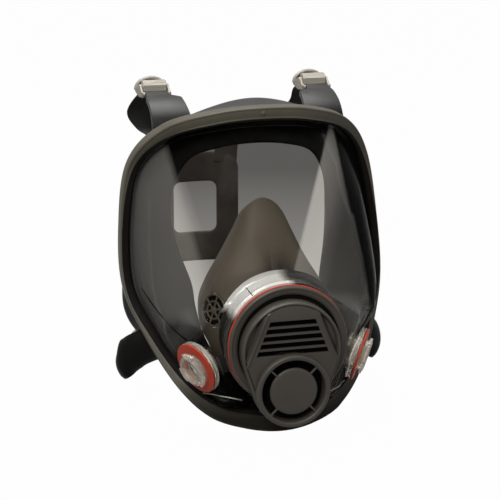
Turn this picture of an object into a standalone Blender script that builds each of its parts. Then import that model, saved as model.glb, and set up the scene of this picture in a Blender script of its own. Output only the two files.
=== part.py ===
"""Full face respirator: a wrap-round lens in its frame, a rubber face seal, a nose cup, a centre
port with its speech grille and exhalation valve, two bayonet filter ports and a four-strap head harness.

Written in millimetres and scaled to metres on the way into each mesh. +Z is up, -Y is forward and the
mask is symmetric about X = 0. The origin lies in the middle of the face opening."""

import math

import bmesh
import bpy
import numpy as np
from mathutils import Matrix, Vector

MM = 0.001

# Clearances
FIT = 0.4  # between pieces that seat on each other
RUN = 0.6  # between pieces that turn or slide on each other

# Lens frame: half outlines run from the forehead to the chin, and are mirrored
FRAME_OUTLINE = [
    (0, -32, 127), (34, -28, 124), (66, -9, 111), (87, 10, 82), (94, 7, 37), (94, -4, -3),
    (83, -24, -34), (66, -46, -63), (47, -60, -81), (24, -74, -87), (0, -79, -89),
]
BAND_WIDTHS = [8.5, 8.5, 8.3, 7.0, 5.4, 5.4, 7.0, 9.0, 11.0, 12.0, 12.0]
BAND_THICKNESS = 3.0
FRAME_WALL = 1.9
FRAME_DEPTH = 11.0
STATIONS_PER_POINT = 2
BAND_EDGE = 0.9  # how far the band's rounded edges reach in
BAND_CROWN = 0.6
MASK_MIDDLE = (0, 0, 20)  # the outlines run round this point

# Overlap of shapes that are joined into one piece
JOIN = 0.5

# Lens
LENS_THICKNESS = 2.2
LENS_RIM_REACH = 3.6  # how far the flat rim shows inside the band
LENS_BULGE_TOP = 9.0
LENS_BULGE_SIDE = 17.0
LENS_BULGE_CHIN = 3.0
LENS_RINGS = 8
LENS_RIM_EASE = 0.3
BULGE_LEAN = (0.6, -0.8)  # the bulge leans out from the middle, and forward

# Face seal
SEAL_THICKNESS = 2.4
SEAL_FOLD_OUTLINE = [
    (0, 2, 126), (30, 4, 120), (58, 14, 105), (78, 27, 79), (88, 31, 38), (91, 25, -4),
    (89, 10, -31), (60, -12, -61), (42, -24, -80), (22, -34, -91), (0, -37, -94),
]
SEAL_LIP_OUTLINE = [
    (0, -6, 97.5), (24, -4, 95), (44, 3, 87), (55, 9, 68), (57.8, 12, 44), (54.5, 3, 21),
    (48, -9, -1), (45.2, -14.5, -20), (36.5, -19, -49), (18.5, -24, -66.5), (0, -25, -72),
]
SEAL_LIP_WIDTH = 3.5
SEAL_CORNER = 0.5
SEAL_STEP = 2.5
SEAL_FOLD_START = 0.12  # share of the wall that rounds into the fold
SEAL_FLANGE = [(0.06, 1.2), (0.4, 1.5), (0.75, 0)]  # share of the way to the lip, and how far it bows back

# Centre port, on an axis along -Y
PORT_HEIGHT = -22.0
NECK_FRONT = -85.0
NECK_ROOT = -72.0
NECK_RADIUS = 43.6
NECK_FLARE = 1.5
BORE_STEP = 8.1
BORE_RADIUS = NECK_RADIUS - BORE_STEP
TUBE_WALL = 4.2
ADAPTER_REAR = -62.0
ADAPTER_FLANGE = 5.0
LOCK_RING_DEPTH = 4.0
GASKET_THICKNESS = 1.8
GASKET_WIDTH = 6.0
GASKET_INSET = 1.8

# Front cover
COVER_BASE_DEPTH = 5.0
COVER_BASE_INSET = 1.8
COVER_EDGE = 1.0
COVER_SKIRT_DEPTH = 12.0
COVER_WALL = 2.2
EGG_STEP = 9.1
EGG_TOP_RADIUS = NECK_RADIUS - EGG_STEP
EGG_TOP_HEIGHT = -24.0
EGG_DEPTH = 6.0
EGG_RIM_STAND = 0.4  # the rim stands this far over the plate inside it
VALVE_HEIGHT = -50.0
VALVE_HOUSING_RADIUS = 25.6
VALVE_OPEN_RADIUS = 21.7
VALVE_DISC_RADIUS = 16.4
VALVE_HOUSING_STAND = 5.5
VALVE_HOUSING_INSET = 0.3
GUARD_SINK = 0.6
SPOKE_WIDTH = 1.2
SLOT_COUNT = 5
SLOT_TOP = -1.6
SLOT_PITCH = 5.0
SLOT_HEIGHT = 3.6
SLOT_HALF_TOP = 15.4
SLOT_SPREAD = 2.0
GRILLE_STAND = 1.2
GRILLE_MARGIN = 3.6
GRILLE_FOOT = 1.2
DIAPHRAGM_RADIUS = 13.0
DIAPHRAGM_HEIGHT = -10.8
DIAPHRAGM_DEPTH = 2.2
DIAPHRAGM_RIM = 2.0
DIAPHRAGM_DISH = 1.0
VALVE_SEAT_DEPTH = 1.8
VALVE_SEAT_LAND = 3.0
VALVE_SEAT_BAR = 2.4
VALVE_HUB_RADIUS = 4.0
VALVE_FLAP_RADIUS = 18.0
VALVE_FLAP_THICKNESS = 0.9
VALVE_FLAP_EDGE = 0.55

# Filter ports: the gasket face of the left port, and the way it looks
PORT_FACE = (58.6, -72.5, -41.7)
PORT_AXIS = (0.855, -0.435, -0.292)
PORT_LENS_DEPTH = 8.0  # from the gasket face to the middle of the lens wall
PORT_FACET_RADIUS = 29.0
PORT_FACET_BLEND = 10.0
PORT_FACET_REACH = 30.0  # the facet draws in only what lies this near its plane
PORT_LIFT = 3.0  # how far short of the neck's front the lens comes beside a port
PORT_LIFT_SPREAD = 0.42  # in radians about the centre port
PORT_GASKET_RADIUS = 18.4
PORT_GASKET_THICKNESS = 1.6
PORT_NECK_RADIUS = 12.6
PORT_BORE_RADIUS = 8.4
PORT_COLLAR_RADIUS = 10.8
PORT_COLLAR_LENGTH = 4.6
PORT_FLANGE_THICKNESS = 2.2
PORT_FOOT = 1.6
PORT_LUG_COUNT = 3
PORT_LUG_HALF_ANGLE = 24.0
PORT_LUG_REACH = 2.2
PORT_LUG_THICKNESS = 2.4
PORT_LUG_STEP = 0.4
PORT_NECK_LENGTH = 3.2
INHALE_FLAP_THICKNESS = 0.8

# Nose cup
CUP_THICKNESS = 2.0
CUP_REAR_OUTLINE = [
    (0, -16, 57), (10.5, -13, 50), (17.5, -11, 36), (26, -9, 19), (36, -8, 1), (41, -8, -14),
    (39.5, -11, -34), (29, -18, -52), (16, -22, -62), (0, -24, -65),
]
CUP_MIDDLE_OUTLINE = [
    (0, -27, 60), (11, -28, 54), (19.5, -30, 38), (28.5, -30, 19), (37.5, -30, 1), (41.5, -30, -11),
    (40.5, -30, -29), (32, -31, -49), (18, -32, -61), (0, -32, -65),
]
CUP_SWELL = 0.6
CUP_BOWS = [(0.35, 4.5), (0.7, 4.0)]  # share of the way to the collar, and how far the wall bows out there
CUP_ROOT_STEP = 2.0
CUP_COLLAR_LENGTH = 9.0
CUP_VALVE_CENTRE = (38.5, -46.5, -10.0)
CUP_VALVE_AXIS = (0.84, -0.5, 0.2)
CUP_VALVE_RADIUS = 11.5
CUP_SEAT_DEPTH = 5.0
CUP_SEAT_RIM = 1.3
CUP_SEAT_RINGS = (2.6, 5.4, 6.8)  # radii of the hub and of the middle ring
CUP_SEAT_BARS = (1.6, 1.8)
CUP_FLAP_INSET = 0.8
CUP_FLAP_THICKNESS = 0.8

# Strap lugs and buckles
STRAP_WIDTH = 19.0
STRAP_THICKNESS = 2.2
LUG_WIDTH = 20.0
LUG_THICKNESS = 3.6
UPPER_LUG_X = 57.0
UPPER_LUG_PATH = [(8, 96), (10.5, 105), (15, 112.5), (21, 117), (28, 119), (36, 121.5)]
UPPER_PIVOT = (44.0, 124.5)
LOWER_LUG_Z = -59.0
LOWER_LUG_DROP = 0.45  # fall of the lower lug for each step outward
LOWER_LUG_SLOPE = 0.45  # and for each step back
LOWER_LUG_PATH = [(66, -16), (78, -8), (90, -3), (97, 4), (95.5, 14), (89, 24)]
LOWER_PIVOT = (80.0, 33.0)
EYE_RADIUS = 3.2
BUCKLE_BAR_RADIUS = 1.5
CHEEK_THICKNESS = 1.7
ROLLER_RADIUS = 5.4
ROLLER_SEAT = (10.0, 3.5)  # roller axis behind and above the pivot bar
ROLLER_PIN_RADIUS = 2.4
REAR_BAR_SEAT = (24.0, 0.5)
REAR_BAR_RADIUS = 1.8
CHEEK_ROUND = 7.6
CHEEK_NOSE = 3.0
CHEEK_TAIL = 3.2
UPPER_BUCKLE_PITCH = -2.0
LOWER_BUCKLE_YAW = 24.0

# Head harness
CRADLE_Y = 190.0
CRADLE_HEIGHT = 2.0
CRADLE_HALF_WIDTH = 36.0
CRADLE_HALF_HEIGHT = 46.0
CRADLE_WINDOW_HALF = (18.0, 21.0)
CRADLE_WINDOW_CORNER = 6.0
CRADLE_CORNER = 15.0
CRADLE_THICKNESS = 3.0
CRADLE_BEND_RADIUS = 85.0
STRAP_ROOT = (11.0, 9.0)  # where a strap ends, in from the cradle's corner
# How the straps bow off a straight line: share of the way, and the step off it
UPPER_STRAP_BOWS = [(0.2, (9, 0, 0)), (0.5, (5.5, 3, 4)), (0.8, (-3, 16, 8))]
LOWER_STRAP_BOWS = [(0.35, (5, 6, -4)), (0.78, (7, 7, 0))]


def spline(points, at):
    """Points of the smooth closed curve through the half outline and its mirror image, at some places."""
    half = np.asarray(points, float)
    loop = np.vstack([half, half[1:-1][::-1] * [-1, 1, 1]])
    count = len(loop)
    at = np.asarray(at, float)
    base = np.floor(at).astype(int)
    t = (at - base)[:, None]
    a, b, c, d = (loop[(base + step) % count] for step in (-1, 0, 1, 2))
    return 0.5 * (2 * b + (c - a) * t + (2 * a - 5 * b + 4 * c - d) * t**2 + (3 * b - a - 3 * c + d) * t**3)


def span_value(values, at):
    """A size that varies from the forehead to the chin, read at places on the closed outline."""
    last = len(values) - 1
    folded = np.abs((np.asarray(at, float) + last) % (2 * last) - last)
    return np.interp(folded, np.arange(last + 1), values)


def outward(points, at):
    """Unit vectors in the XZ plane, square to the outline and pointing away from its middle."""
    along = spline(points, np.asarray(at) + 0.05) - spline(points, np.asarray(at) - 0.05)
    across = np.stack([-along[:, 2], np.zeros(len(along)), along[:, 0]], 1)
    across *= np.sign((across * (spline(points, at) - MASK_MIDDLE)).sum(1))[:, None]
    return across / np.linalg.norm(across, axis=1)[:, None]


def stations(points):
    return np.arange(0, 2 * (len(points) - 1), 1 / STATIONS_PER_POINT)


def frame_ring(at, inward, back):
    """A ring parallel to the frame's outer edge, moved inward in the XZ plane and back along Y. The way back
    grows where the outline slopes, so that walls keep their thickness there."""
    after, before = np.asarray(at) + 0.05, np.asarray(at) - 0.05
    along = spline(FRAME_OUTLINE, after) - spline(FRAME_OUTLINE, before)
    along -= (outward(FRAME_OUTLINE, after) - outward(FRAME_OUTLINE, before)) * max(BAND_WIDTHS)
    slope = np.linalg.norm(along, axis=1) / np.linalg.norm(along[:, ::2], axis=1)
    inward = np.broadcast_to(inward, len(at))
    move = -outward(FRAME_OUTLINE, at) * inward[:, None]
    move[:, 1] += back * slope
    return spline(FRAME_OUTLINE, at) + move


def unit(vector):
    return np.asarray(vector, float) / np.linalg.norm(vector)


def material(name, colour, roughness, metallic=0.0, transmission=0.0):
    made = bpy.data.materials.new(name)
    made.use_nodes = True
    shader = made.node_tree.nodes["Principled BSDF"]
    shader.inputs["Base Color"].default_value = (*colour, 1)
    shader.inputs["Roughness"].default_value = roughness
    shader.inputs["Metallic"].default_value = metallic
    shader.inputs["Transmission Weight"].default_value = transmission
    return made


def add(name, points, faces, finish, place=None, parent=None):
    """A new object from points in millimetres, with its faces turned outwards."""
    mesh = bpy.data.meshes.new(name)
    mesh.from_pydata([tuple(p) for p in np.asarray(points, float) * MM], [], [list(f) for f in faces])
    shape = bmesh.new()
    shape.from_mesh(mesh)
    bmesh.ops.remove_doubles(shape, verts=shape.verts, dist=1e-6)
    bmesh.ops.recalc_face_normals(shape, faces=shape.faces)
    shape.to_mesh(mesh)
    shape.free()
    mesh.shade_smooth()
    mesh.set_sharp_from_angle(angle=math.radians(35))
    made = bpy.data.objects.new(name, mesh)
    mesh.materials.append(finish)
    bpy.context.scene.collection.objects.link(made)
    made.matrix_world = place if place is not None else Matrix.Identity(4)
    if parent is not None:
        made.parent = parent
        made.matrix_parent_inverse = parent.matrix_world.inverted()
    return made


def axes(origin, forward, up=(0, 0, 1)):
    """A place whose Z axis looks along forward and whose Y axis leans to up."""
    z = unit(forward)
    x = unit(np.cross(up, z))
    y = np.cross(z, x)
    place = Matrix([[*row, 0] for row in np.stack([x, y, z], 1)] + [[0, 0, 0, 1]])
    place.translation = Vector(np.asarray(origin, float) * MM)
    return place


def empty(name, place):
    made = bpy.data.objects.new(name, None)
    made.empty_display_size = 0.01
    bpy.context.scene.collection.objects.link(made)
    made.matrix_world = place
    return made


def grid_faces(rows, columns, closed_rows, closed_columns):
    row_count = rows if closed_rows else rows - 1
    column_count = columns if closed_columns else columns - 1
    return [
        (
            i * columns + j,
            i * columns + (j + 1) % columns,
            (i + 1) % rows * columns + (j + 1) % columns,
            (i + 1) % rows * columns + j,
        )
        for i in range(row_count)
        for j in range(column_count)
    ]


def turned(name, profile, finish, place, steps=36, parent=None):
    """A closed profile of (radius, height) turned about the place's Z axis. Radius 0 closes on the axis."""
    profile = np.asarray(profile, float)
    angle = np.linspace(0, 2 * np.pi, steps, endpoint=False)
    points = np.stack(
        [
            np.outer(np.cos(angle), profile[:, 0]),
            np.outer(np.sin(angle), profile[:, 0]),
            np.tile(profile[:, 1], (steps, 1)),
        ],
        2,
    ).reshape(-1, 3)
    on_axis = profile[:, 0] == 0
    closed = not on_axis.any()
    faces = grid_faces(steps, len(profile), True, closed)
    return add(name, points, faces, finish, place, parent)


def plug(radius, reach):
    """The profile of a round cutter that reaches this far both ways."""
    return [(0, reach), (radius, reach), (radius, -reach), (0, -reach)]


def prism(name, outer, holes, low, high, finish, place, parent=None):
    """A plate of the outline less its holes, from low to high along the place's Z axis."""
    shape = bmesh.new()
    for loop in (outer, *holes):
        corners = [shape.verts.new((x * MM, y * MM, low * MM)) for x, y in loop]
        for a, b in zip(corners, corners[1:] + corners[:1]):
            shape.edges.new((a, b))
    bmesh.ops.triangle_fill(shape, edges=shape.edges[:], use_dissolve=False, normal=(0, 0, 1))
    top = bmesh.ops.extrude_face_region(shape, geom=shape.faces[:])
    moved = [item for item in top["geom"] if isinstance(item, bmesh.types.BMVert)]
    bmesh.ops.translate(shape, verts=moved, vec=(0, 0, (high - low) * MM))
    bmesh.ops.recalc_face_normals(shape, faces=shape.faces)
    mesh = bpy.data.meshes.new(name)
    shape.to_mesh(mesh)
    shape.free()
    mesh.materials.append(finish)
    made = bpy.data.objects.new(name, mesh)
    bpy.context.scene.collection.objects.link(made)
    made.matrix_world = place
    if parent is not None:
        made.parent = parent
        made.matrix_parent_inverse = parent.matrix_world.inverted()
    return made


def arc(radius, start, end, count, centre=(0, 0)):
    angle = np.radians(np.linspace(start, end, count))
    return [(centre[0] + radius * math.cos(a), centre[1] + radius * math.sin(a)) for a in angle]


def circle(radius, count=36, centre=(0, 0)):
    return arc(radius, 0, 360 * (1 - 1 / count), count, centre)


def sector(inner, outer, middle, gap, count=8, centre=(0, 0), share=90):
    """A ring segment about the angle middle, whose ends stay half the gap from the spokes beside it."""
    half_outer = share / 2 - math.degrees(gap / 2 / outer)
    half_inner = share / 2 - math.degrees(gap / 2 / inner)
    far = arc(outer, middle - half_outer, middle + half_outer, count, centre)
    near = arc(inner, middle + half_inner, middle - half_inner, count, centre)
    return far + near


def hull(*circles, count=40):
    """The outline round some circles, each (x, y, radius), as a string pulled tight would go."""
    cloud = [p for x, y, radius in circles for p in circle(radius, count, (x, y))]
    cloud = sorted(set((round(x, 4), round(y, 4)) for x, y in cloud))

    def chain(points):
        kept = []
        for p in points:
            while len(kept) > 1 and (
                (kept[-1][0] - kept[-2][0]) * (p[1] - kept[-2][1])
                <= (kept[-1][1] - kept[-2][1]) * (p[0] - kept[-2][0])
            ):
                kept.pop()
            kept.append(p)
        return kept[:-1]

    return chain(cloud) + chain(cloud[::-1])


def rounded(half_width, half_height, radius, count=6):
    corners = []
    for sx, sy, start in ((1, 1, 0), (-1, 1, 90), (-1, -1, 180), (1, -1, 270)):
        centre = (sx * (half_width - radius), sy * (half_height - radius))
        corners += arc(radius, start, start + 90, count, centre)
    return corners


def combine(target, tool, operation):
    """Cuts the tool from the target or joins it on, and keeps the tool as a hidden helper."""
    step = target.modifiers.new(f"{operation.lower()} {tool.name}", "BOOLEAN")
    step.operation = operation
    step.object = tool
    step.solver = "EXACT"
    tool.hide_render = True
    tool.display_type = "WIRE"


def settle(target):
    """Splits the faces that the joins and cuts left into triangles, avoiding slivers along straight edges."""
    target.modifiers.new("triangles", "TRIANGULATE")


def thicken(target, thickness):
    step = target.modifiers.new("wall", "SOLIDIFY")
    step.thickness = thickness * MM
    step.offset = 0
    step.use_even_offset = True


def band(name, centre_line, half_width, half_thickness, side_axis, finish, parent=None):
    """A flat strap of constant width along a line of points, its width lying along side_axis."""
    line = np.asarray(centre_line, float)
    along = np.gradient(line, axis=0)
    along /= np.linalg.norm(along, axis=1)[:, None]
    side = np.broadcast_to(np.asarray(side_axis, float), line.shape)
    side = side - along * (side * along).sum(1)[:, None]
    side /= np.linalg.norm(side, axis=1)[:, None]
    up = np.cross(side, along)
    corners = [(1, 1), (-1, 1), (-1, -1), (1, -1)]
    points = np.stack([line + side * half_width * a + up * half_thickness * b for a, b in corners], 1)
    count = len(line)
    faces = grid_faces(count, 4, False, True)
    faces += [(0, 1, 2, 3), tuple(4 * (count - 1) + k for k in (3, 2, 1, 0))]
    return add(name, points.reshape(-1, 3), faces, finish, None, parent)


def curve_through(points, per_span):
    """A smooth open line through the points, for straps."""
    p = np.asarray(points, float)
    ends = np.vstack([2 * p[0] - p[1], p, 2 * p[-1] - p[-2]])
    t = np.linspace(0, 1, per_span, endpoint=False)[:, None]
    rows = []
    for i in range(len(p) - 1):
        a, b, c, d = ends[i : i + 4]
        rows.append(
            0.5 * (2 * b + (c - a) * t + (2 * a - 5 * b + 4 * c - d) * t**2 + (3 * b - a - 3 * c + d) * t**3)
        )
    return np.vstack([*rows, p[-1:]])


def sides():
    """The wearer's right and left: the left lies on +X."""
    return (("right", -1), ("left", 1))


def mirrored(vector, side):
    return np.asarray(vector, float) * [side, 1, 1]


def make_frame(finish):
    """The lens frame: an L section swept round the outline, a band over the lens rim and a wall."""
    at = stations(FRAME_OUTLINE)
    width = span_value(BAND_WIDTHS, at)
    front, back = -BAND_THICKNESS, FRAME_DEPTH - BAND_THICKNESS
    section = [
        (width, front + BAND_EDGE),
        (width - BAND_EDGE, front),
        (0.35 * width, front - BAND_CROWN),
        (BAND_EDGE, front),
        (0, front + BAND_EDGE),
        (0, back),
        (FRAME_WALL, back),
        (FRAME_WALL, -2 * FIT),
        (width, -2 * FIT),
    ]
    rings = np.stack([frame_ring(at, inward, depth) for inward, depth in section], 1)
    faces = grid_faces(len(at), len(section), True, True)
    add("lens_frame", rings.reshape(-1, 3), faces, finish)


def port_place(side, depth=0.0):
    """The place on a filter port's axis at a depth behind its gasket face, with Z looking out."""
    axis = mirrored(unit(PORT_AXIS), side)
    return axes(mirrored(PORT_FACE, side) - axis * depth, axis)


def port_ring(turn, radius, depth):
    """A ring about the centre port's axis, with a point at each turn from straight up."""
    across, up = radius * np.sin(turn), radius * np.cos(turn)
    return np.stack([across, np.full_like(turn, depth), PORT_HEIGHT + up], 1)


def lens_surface():
    """Rings of the middle of the lens wall, from its rim in the frame to the seat of the centre port."""
    at = stations(FRAME_OUTLINE)
    width = span_value(BAND_WIDTHS, at)
    middle = LENS_THICKNESS / 2
    outer = frame_ring(at, FRAME_WALL + FIT + LENS_RIM_EASE, middle)
    inner = frame_ring(at, width + LENS_RIM_REACH, middle)
    turn = np.arctan2(inner[:, 0], inner[:, 2] - PORT_HEIGHT)
    # The lens comes further forward beside the filter ports, where it carries their facets
    port_turn = math.atan2(PORT_FACE[0], PORT_FACE[2] - PORT_HEIGHT)
    lift = np.exp(-(((np.abs(turn) - port_turn) / PORT_LIFT_SPREAD) ** 2))
    neck = NECK_RADIUS - LENS_THICKNESS / 2
    root = np.stack(
        [
            (neck + NECK_FLARE) * np.sin(turn),
            NECK_ROOT + (NECK_FRONT + PORT_LIFT - NECK_ROOT) * lift,
            PORT_HEIGHT + (neck + NECK_FLARE) * np.cos(turn),
        ],
        1,
    )
    away = outward(FRAME_OUTLINE, at)
    side_share = np.abs(away[:, :1])
    end = np.where(away[:, 2:] > 0, LENS_BULGE_TOP, LENS_BULGE_CHIN)
    bulge = end + (LENS_BULGE_SIDE - end) * side_share
    lean = away * BULGE_LEAN[0] + [0, BULGE_LEAN[1], 0]
    rings = [outer]
    for share in np.linspace(0, 1, LENS_RINGS):
        rings.append(inner + (root - inner) * share + bulge * math.sin(math.pi * share) * lean)
    lens = np.stack(rings)
    for _, side in sides():
        axis = mirrored(unit(PORT_AXIS), side)
        seat = mirrored(PORT_FACE, side) - axis * PORT_LENS_DEPTH
        away = lens - seat
        height = away @ axis
        radius = np.linalg.norm(away - height[..., None] * axis, axis=-1)
        near = np.clip((PORT_FACET_RADIUS - radius) / PORT_FACET_BLEND + 1, 0, 1)
        near *= np.abs(height) < PORT_FACET_REACH
        near = near * near * (3 - 2 * near) * np.clip(np.arange(len(lens)) - 1, 0, 1)[:, None]
        lens = lens - (near * height)[..., None] * axis
    hole = BORE_RADIUS + TUBE_WALL + FIT
    return np.concatenate([lens, [port_ring(turn, neck, NECK_FRONT), port_ring(turn, hole, NECK_FRONT)]])


def make_lens(finish):
    rings = lens_surface()
    faces = grid_faces(rings.shape[0], rings.shape[1], False, True)
    lens = add("lens", rings.reshape(-1, 3), faces, finish)
    thicken(lens, LENS_THICKNESS)
    reach = 4 * LENS_THICKNESS
    for label, side in sides():
        hole = turned(
            f"{label}_port_hole",
            plug(PORT_NECK_RADIUS + FIT, reach),
            finish,
            port_place(side, PORT_LENS_DEPTH),
            32,
        )
        combine(lens, hole, "DIFFERENCE")
    settle(lens)


def make_seal(finish):
    """The face seal: a lip behind the lens rim, a wall, a flange turned in to the face, and lugs."""
    at = stations(FRAME_OUTLINE)
    width = span_value(BAND_WIDTHS, at)
    half = SEAL_THICKNESS / 2
    behind = LENS_THICKNESS + 3 * FIT + half
    wall = FRAME_WALL + FIT + half
    fold = spline(SEAL_FOLD_OUTLINE, at)
    lip = spline(SEAL_LIP_OUTLINE, at)
    skirt = frame_ring(at, wall, FRAME_DEPTH)
    rings = [
        frame_ring(at, np.maximum(width - SEAL_CORNER, wall + SEAL_LIP_WIDTH), behind),
        frame_ring(at, wall + SEAL_CORNER, behind),
        frame_ring(at, wall, behind + SEAL_STEP),
        skirt,
        (skirt + fold) / 2,
        fold + (skirt - fold) * SEAL_FOLD_START,
    ]
    rings += [fold + (lip - fold) * share + [0, bow, 0] for share, bow in SEAL_FLANGE]
    rings = np.stack([*rings, lip])
    faces = grid_faces(rings.shape[0], rings.shape[1], False, True)
    seal = add("face_seal", rings.reshape(-1, 3), faces, finish)
    thicken(seal, SEAL_THICKNESS)
    for label, side in sides():
        upper = lug_outline(UPPER_LUG_PATH, UPPER_PIVOT)
        place = axes((side * UPPER_LUG_X, 0, 0), (1, 0, 0), (0, 0, 1))
        half_width = LUG_WIDTH / 2
        eye = circle(BUCKLE_BAR_RADIUS + RUN / 2, 16, UPPER_PIVOT)
        lug = prism(f"{label}_upper_lug", upper, [eye], -half_width, half_width, finish, place)
        combine(seal, lug, "UNION")
        path = [(side * x, y) for x, y in LOWER_LUG_PATH]
        pivot = (side * LOWER_PIVOT[0], LOWER_PIVOT[1])
        flat = lug_outline(path, pivot)
        eye = circle(BUCKLE_BAR_RADIUS + RUN / 2, 16, pivot)
        lug = prism(f"{label}_lower_lug", flat, [eye], -half_width, half_width, finish, Matrix.Identity(4))
        for corner in lug.data.vertices:
            corner.co.z += lower_lug_height(abs(corner.co.x) / MM, corner.co.y / MM) * MM
        combine(seal, lug, "UNION")
    settle(seal)


def lower_lug_height(x, y):
    """Height of the lower lug's middle, which falls outward and back and is level round the pivot."""
    reach_x, reach_y = LOWER_LUG_PATH[3]
    near = max(abs(x - LOWER_PIVOT[0]), abs(y - LOWER_PIVOT[1])) < EYE_RADIUS + 1
    x, y = LOWER_PIVOT if near else (x, y)
    return LOWER_LUG_Z - LOWER_LUG_DROP * (x - reach_x) - LOWER_LUG_SLOPE * (y - reach_y)


def lug_outline(path, pivot):
    """The side view of a strap lug: a band along the path that ends in an eye round the pivot."""
    line = curve_through([*path, pivot], 3)
    along = np.gradient(line, axis=0)
    along /= np.linalg.norm(along, axis=1)[:, None]
    across = np.stack([-along[:, 1], along[:, 0]], 1) * LUG_THICKNESS / 2
    body = np.linalg.norm(line - np.asarray(pivot), axis=1) > EYE_RADIUS * 1.05
    line, across, end = line[body], across[body], along[-1]
    heading = math.degrees(math.atan2(end[1], end[0]))
    spread = 180 - math.degrees(math.asin(LUG_THICKNESS / 2 / EYE_RADIUS)) - 6
    eye = arc(EYE_RADIUS, heading - spread, heading + spread, 16, pivot)
    return [tuple(p) for p in line - across] + eye + [tuple(p) for p in (line + across)[::-1]]


def centre_place(depth):
    """A place on the centre port's axis, with Z looking forward."""
    return axes((0, depth, PORT_HEIGHT), (0, -1, 0))


def make_centre_port(clear, red):
    """The clear adapter that goes through the lens, the ring that locks it from inside, and its gasket."""
    tube = BORE_RADIUS + TUBE_WALL
    lens_face = NECK_FRONT - LENS_THICKNESS / 2
    flange_rear = -lens_face + FIT
    face = flange_rear + ADAPTER_FLANGE
    place = centre_place(0)
    turned(
        "centre_adapter",
        [
            (BORE_RADIUS, face),
            (NECK_RADIUS, face),
            (NECK_RADIUS, flange_rear),
            (tube, flange_rear),
            (tube, -ADAPTER_REAR),
            (BORE_RADIUS, -ADAPTER_REAR),
        ],
        clear,
        place,
        36,
    )
    ring_front = -(NECK_FRONT + LENS_THICKNESS / 2) - FIT
    turned(
        "adapter_lock_ring",
        [
            (tube + FIT, ring_front),
            (NECK_RADIUS - LENS_THICKNESS - FIT, ring_front),
            (NECK_RADIUS - LENS_THICKNESS - FIT, ring_front - LOCK_RING_DEPTH),
            (tube + FIT, ring_front - LOCK_RING_DEPTH),
        ],
        clear,
        place,
        36,
    )
    low = face + FIT
    rim = NECK_RADIUS - GASKET_INSET
    turned(
        "centre_gasket",
        [
            (rim - GASKET_WIDTH, low + GASKET_THICKNESS),
            (rim, low + GASKET_THICKNESS),
            (rim, low),
            (rim - GASKET_WIDTH, low),
        ],
        red,
        place,
        36,
    )
    return low + GASKET_THICKNESS + FIT


def cover_outline(inset=0.0):
    """The egg shape round the top of the cover and the valve's housing."""
    top = (0, EGG_TOP_HEIGHT, EGG_TOP_RADIUS - inset)
    low = (0, VALVE_HEIGHT, VALVE_HOUSING_RADIUS - inset)
    return hull(top, low, count=34)


def slot_outlines():
    """The slots of the speech grille, each wider than the one above it."""
    rows = []
    for row in range(SLOT_COUNT):
        top = SLOT_TOP - row * SLOT_PITCH
        half = SLOT_HALF_TOP + row * SLOT_SPREAD
        low = half + SLOT_SPREAD * SLOT_HEIGHT / SLOT_PITCH
        rows.append([(-half, top), (half, top), (low, top - SLOT_HEIGHT), (-low, top - SLOT_HEIGHT)])
    return rows


def make_cover(rear, dark):
    """The front cover, built up from its rear face: a round base, an egg-shaped shell with the speech
    grille, and the exhalation valve's housing with its round guard on four spokes."""
    place = axes((0, 0, 0), (0, -1, 0))
    base_front = rear + COVER_BASE_DEPTH
    plate_rear = base_front + EGG_DEPTH - COVER_WALL
    plate_front = base_front + EGG_DEPTH
    base_radius = NECK_RADIUS - COVER_BASE_INSET
    skirt_radius = BORE_RADIUS - FIT
    base = turned(
        "front_cover",
        [
            (skirt_radius - COVER_WALL, base_front + JOIN),
            (base_radius - COVER_EDGE, base_front + JOIN),
            (base_radius, base_front + JOIN - COVER_EDGE),
            (base_radius, rear),
            (skirt_radius, rear),
            (skirt_radius, rear - COVER_SKIRT_DEPTH),
            (skirt_radius - COVER_WALL, rear - COVER_SKIRT_DEPTH),
        ],
        dark,
        centre_place(0),
        36,
    )
    centre = (0, VALVE_HEIGHT)
    valve_open = circle(VALVE_OPEN_RADIUS, 28, centre)
    slots = slot_outlines()
    inside = cover_outline(COVER_WALL)
    shell = prism("cover_shell", cover_outline(), [inside], base_front - JOIN, plate_front, dark, place)
    combine(base, shell, "UNION")
    plate_edge = cover_outline(COVER_WALL / 2)
    plate_top = plate_front - EGG_RIM_STAND
    plate = prism("cover_plate", plate_edge, [*slots, valve_open], plate_rear, plate_top, dark, place)
    combine(base, plate, "UNION")
    first, last = slots[0], slots[-1]
    grille = [
        (first[0][0] - GRILLE_MARGIN, first[0][1] + GRILLE_MARGIN),
        (first[1][0] + GRILLE_MARGIN, first[1][1] + GRILLE_MARGIN),
        (last[2][0] + GRILLE_MARGIN, last[2][1] - GRILLE_FOOT),
        (last[3][0] - GRILLE_MARGIN, last[3][1] - GRILLE_FOOT),
    ]
    grille_top = plate_front + GRILLE_STAND
    raised = prism("cover_grille", grille, slots, plate_rear + JOIN, grille_top, dark, place)
    combine(base, raised, "UNION")
    housing_edge = circle(VALVE_HOUSING_RADIUS - VALVE_HOUSING_INSET, 28, centre)
    housing_top = plate_front + VALVE_HOUSING_STAND
    housing = prism(
        "cover_valve_housing", housing_edge, [valve_open], base_front - JOIN, housing_top, dark, place
    )
    combine(base, housing, "UNION")
    guard_edge = circle((VALVE_OPEN_RADIUS + VALVE_HOUSING_RADIUS) / 2, 28, centre)
    guard_holes = [
        sector(VALVE_DISC_RADIUS, VALVE_OPEN_RADIUS, 90 * k, SPOKE_WIDTH, 6, centre) for k in range(4)
    ]
    guard_top = housing_top - GUARD_SINK
    guard = prism("cover_guard", guard_edge, guard_holes, guard_top - COVER_WALL, guard_top, dark, place)
    combine(base, guard, "UNION")
    return plate_rear


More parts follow.
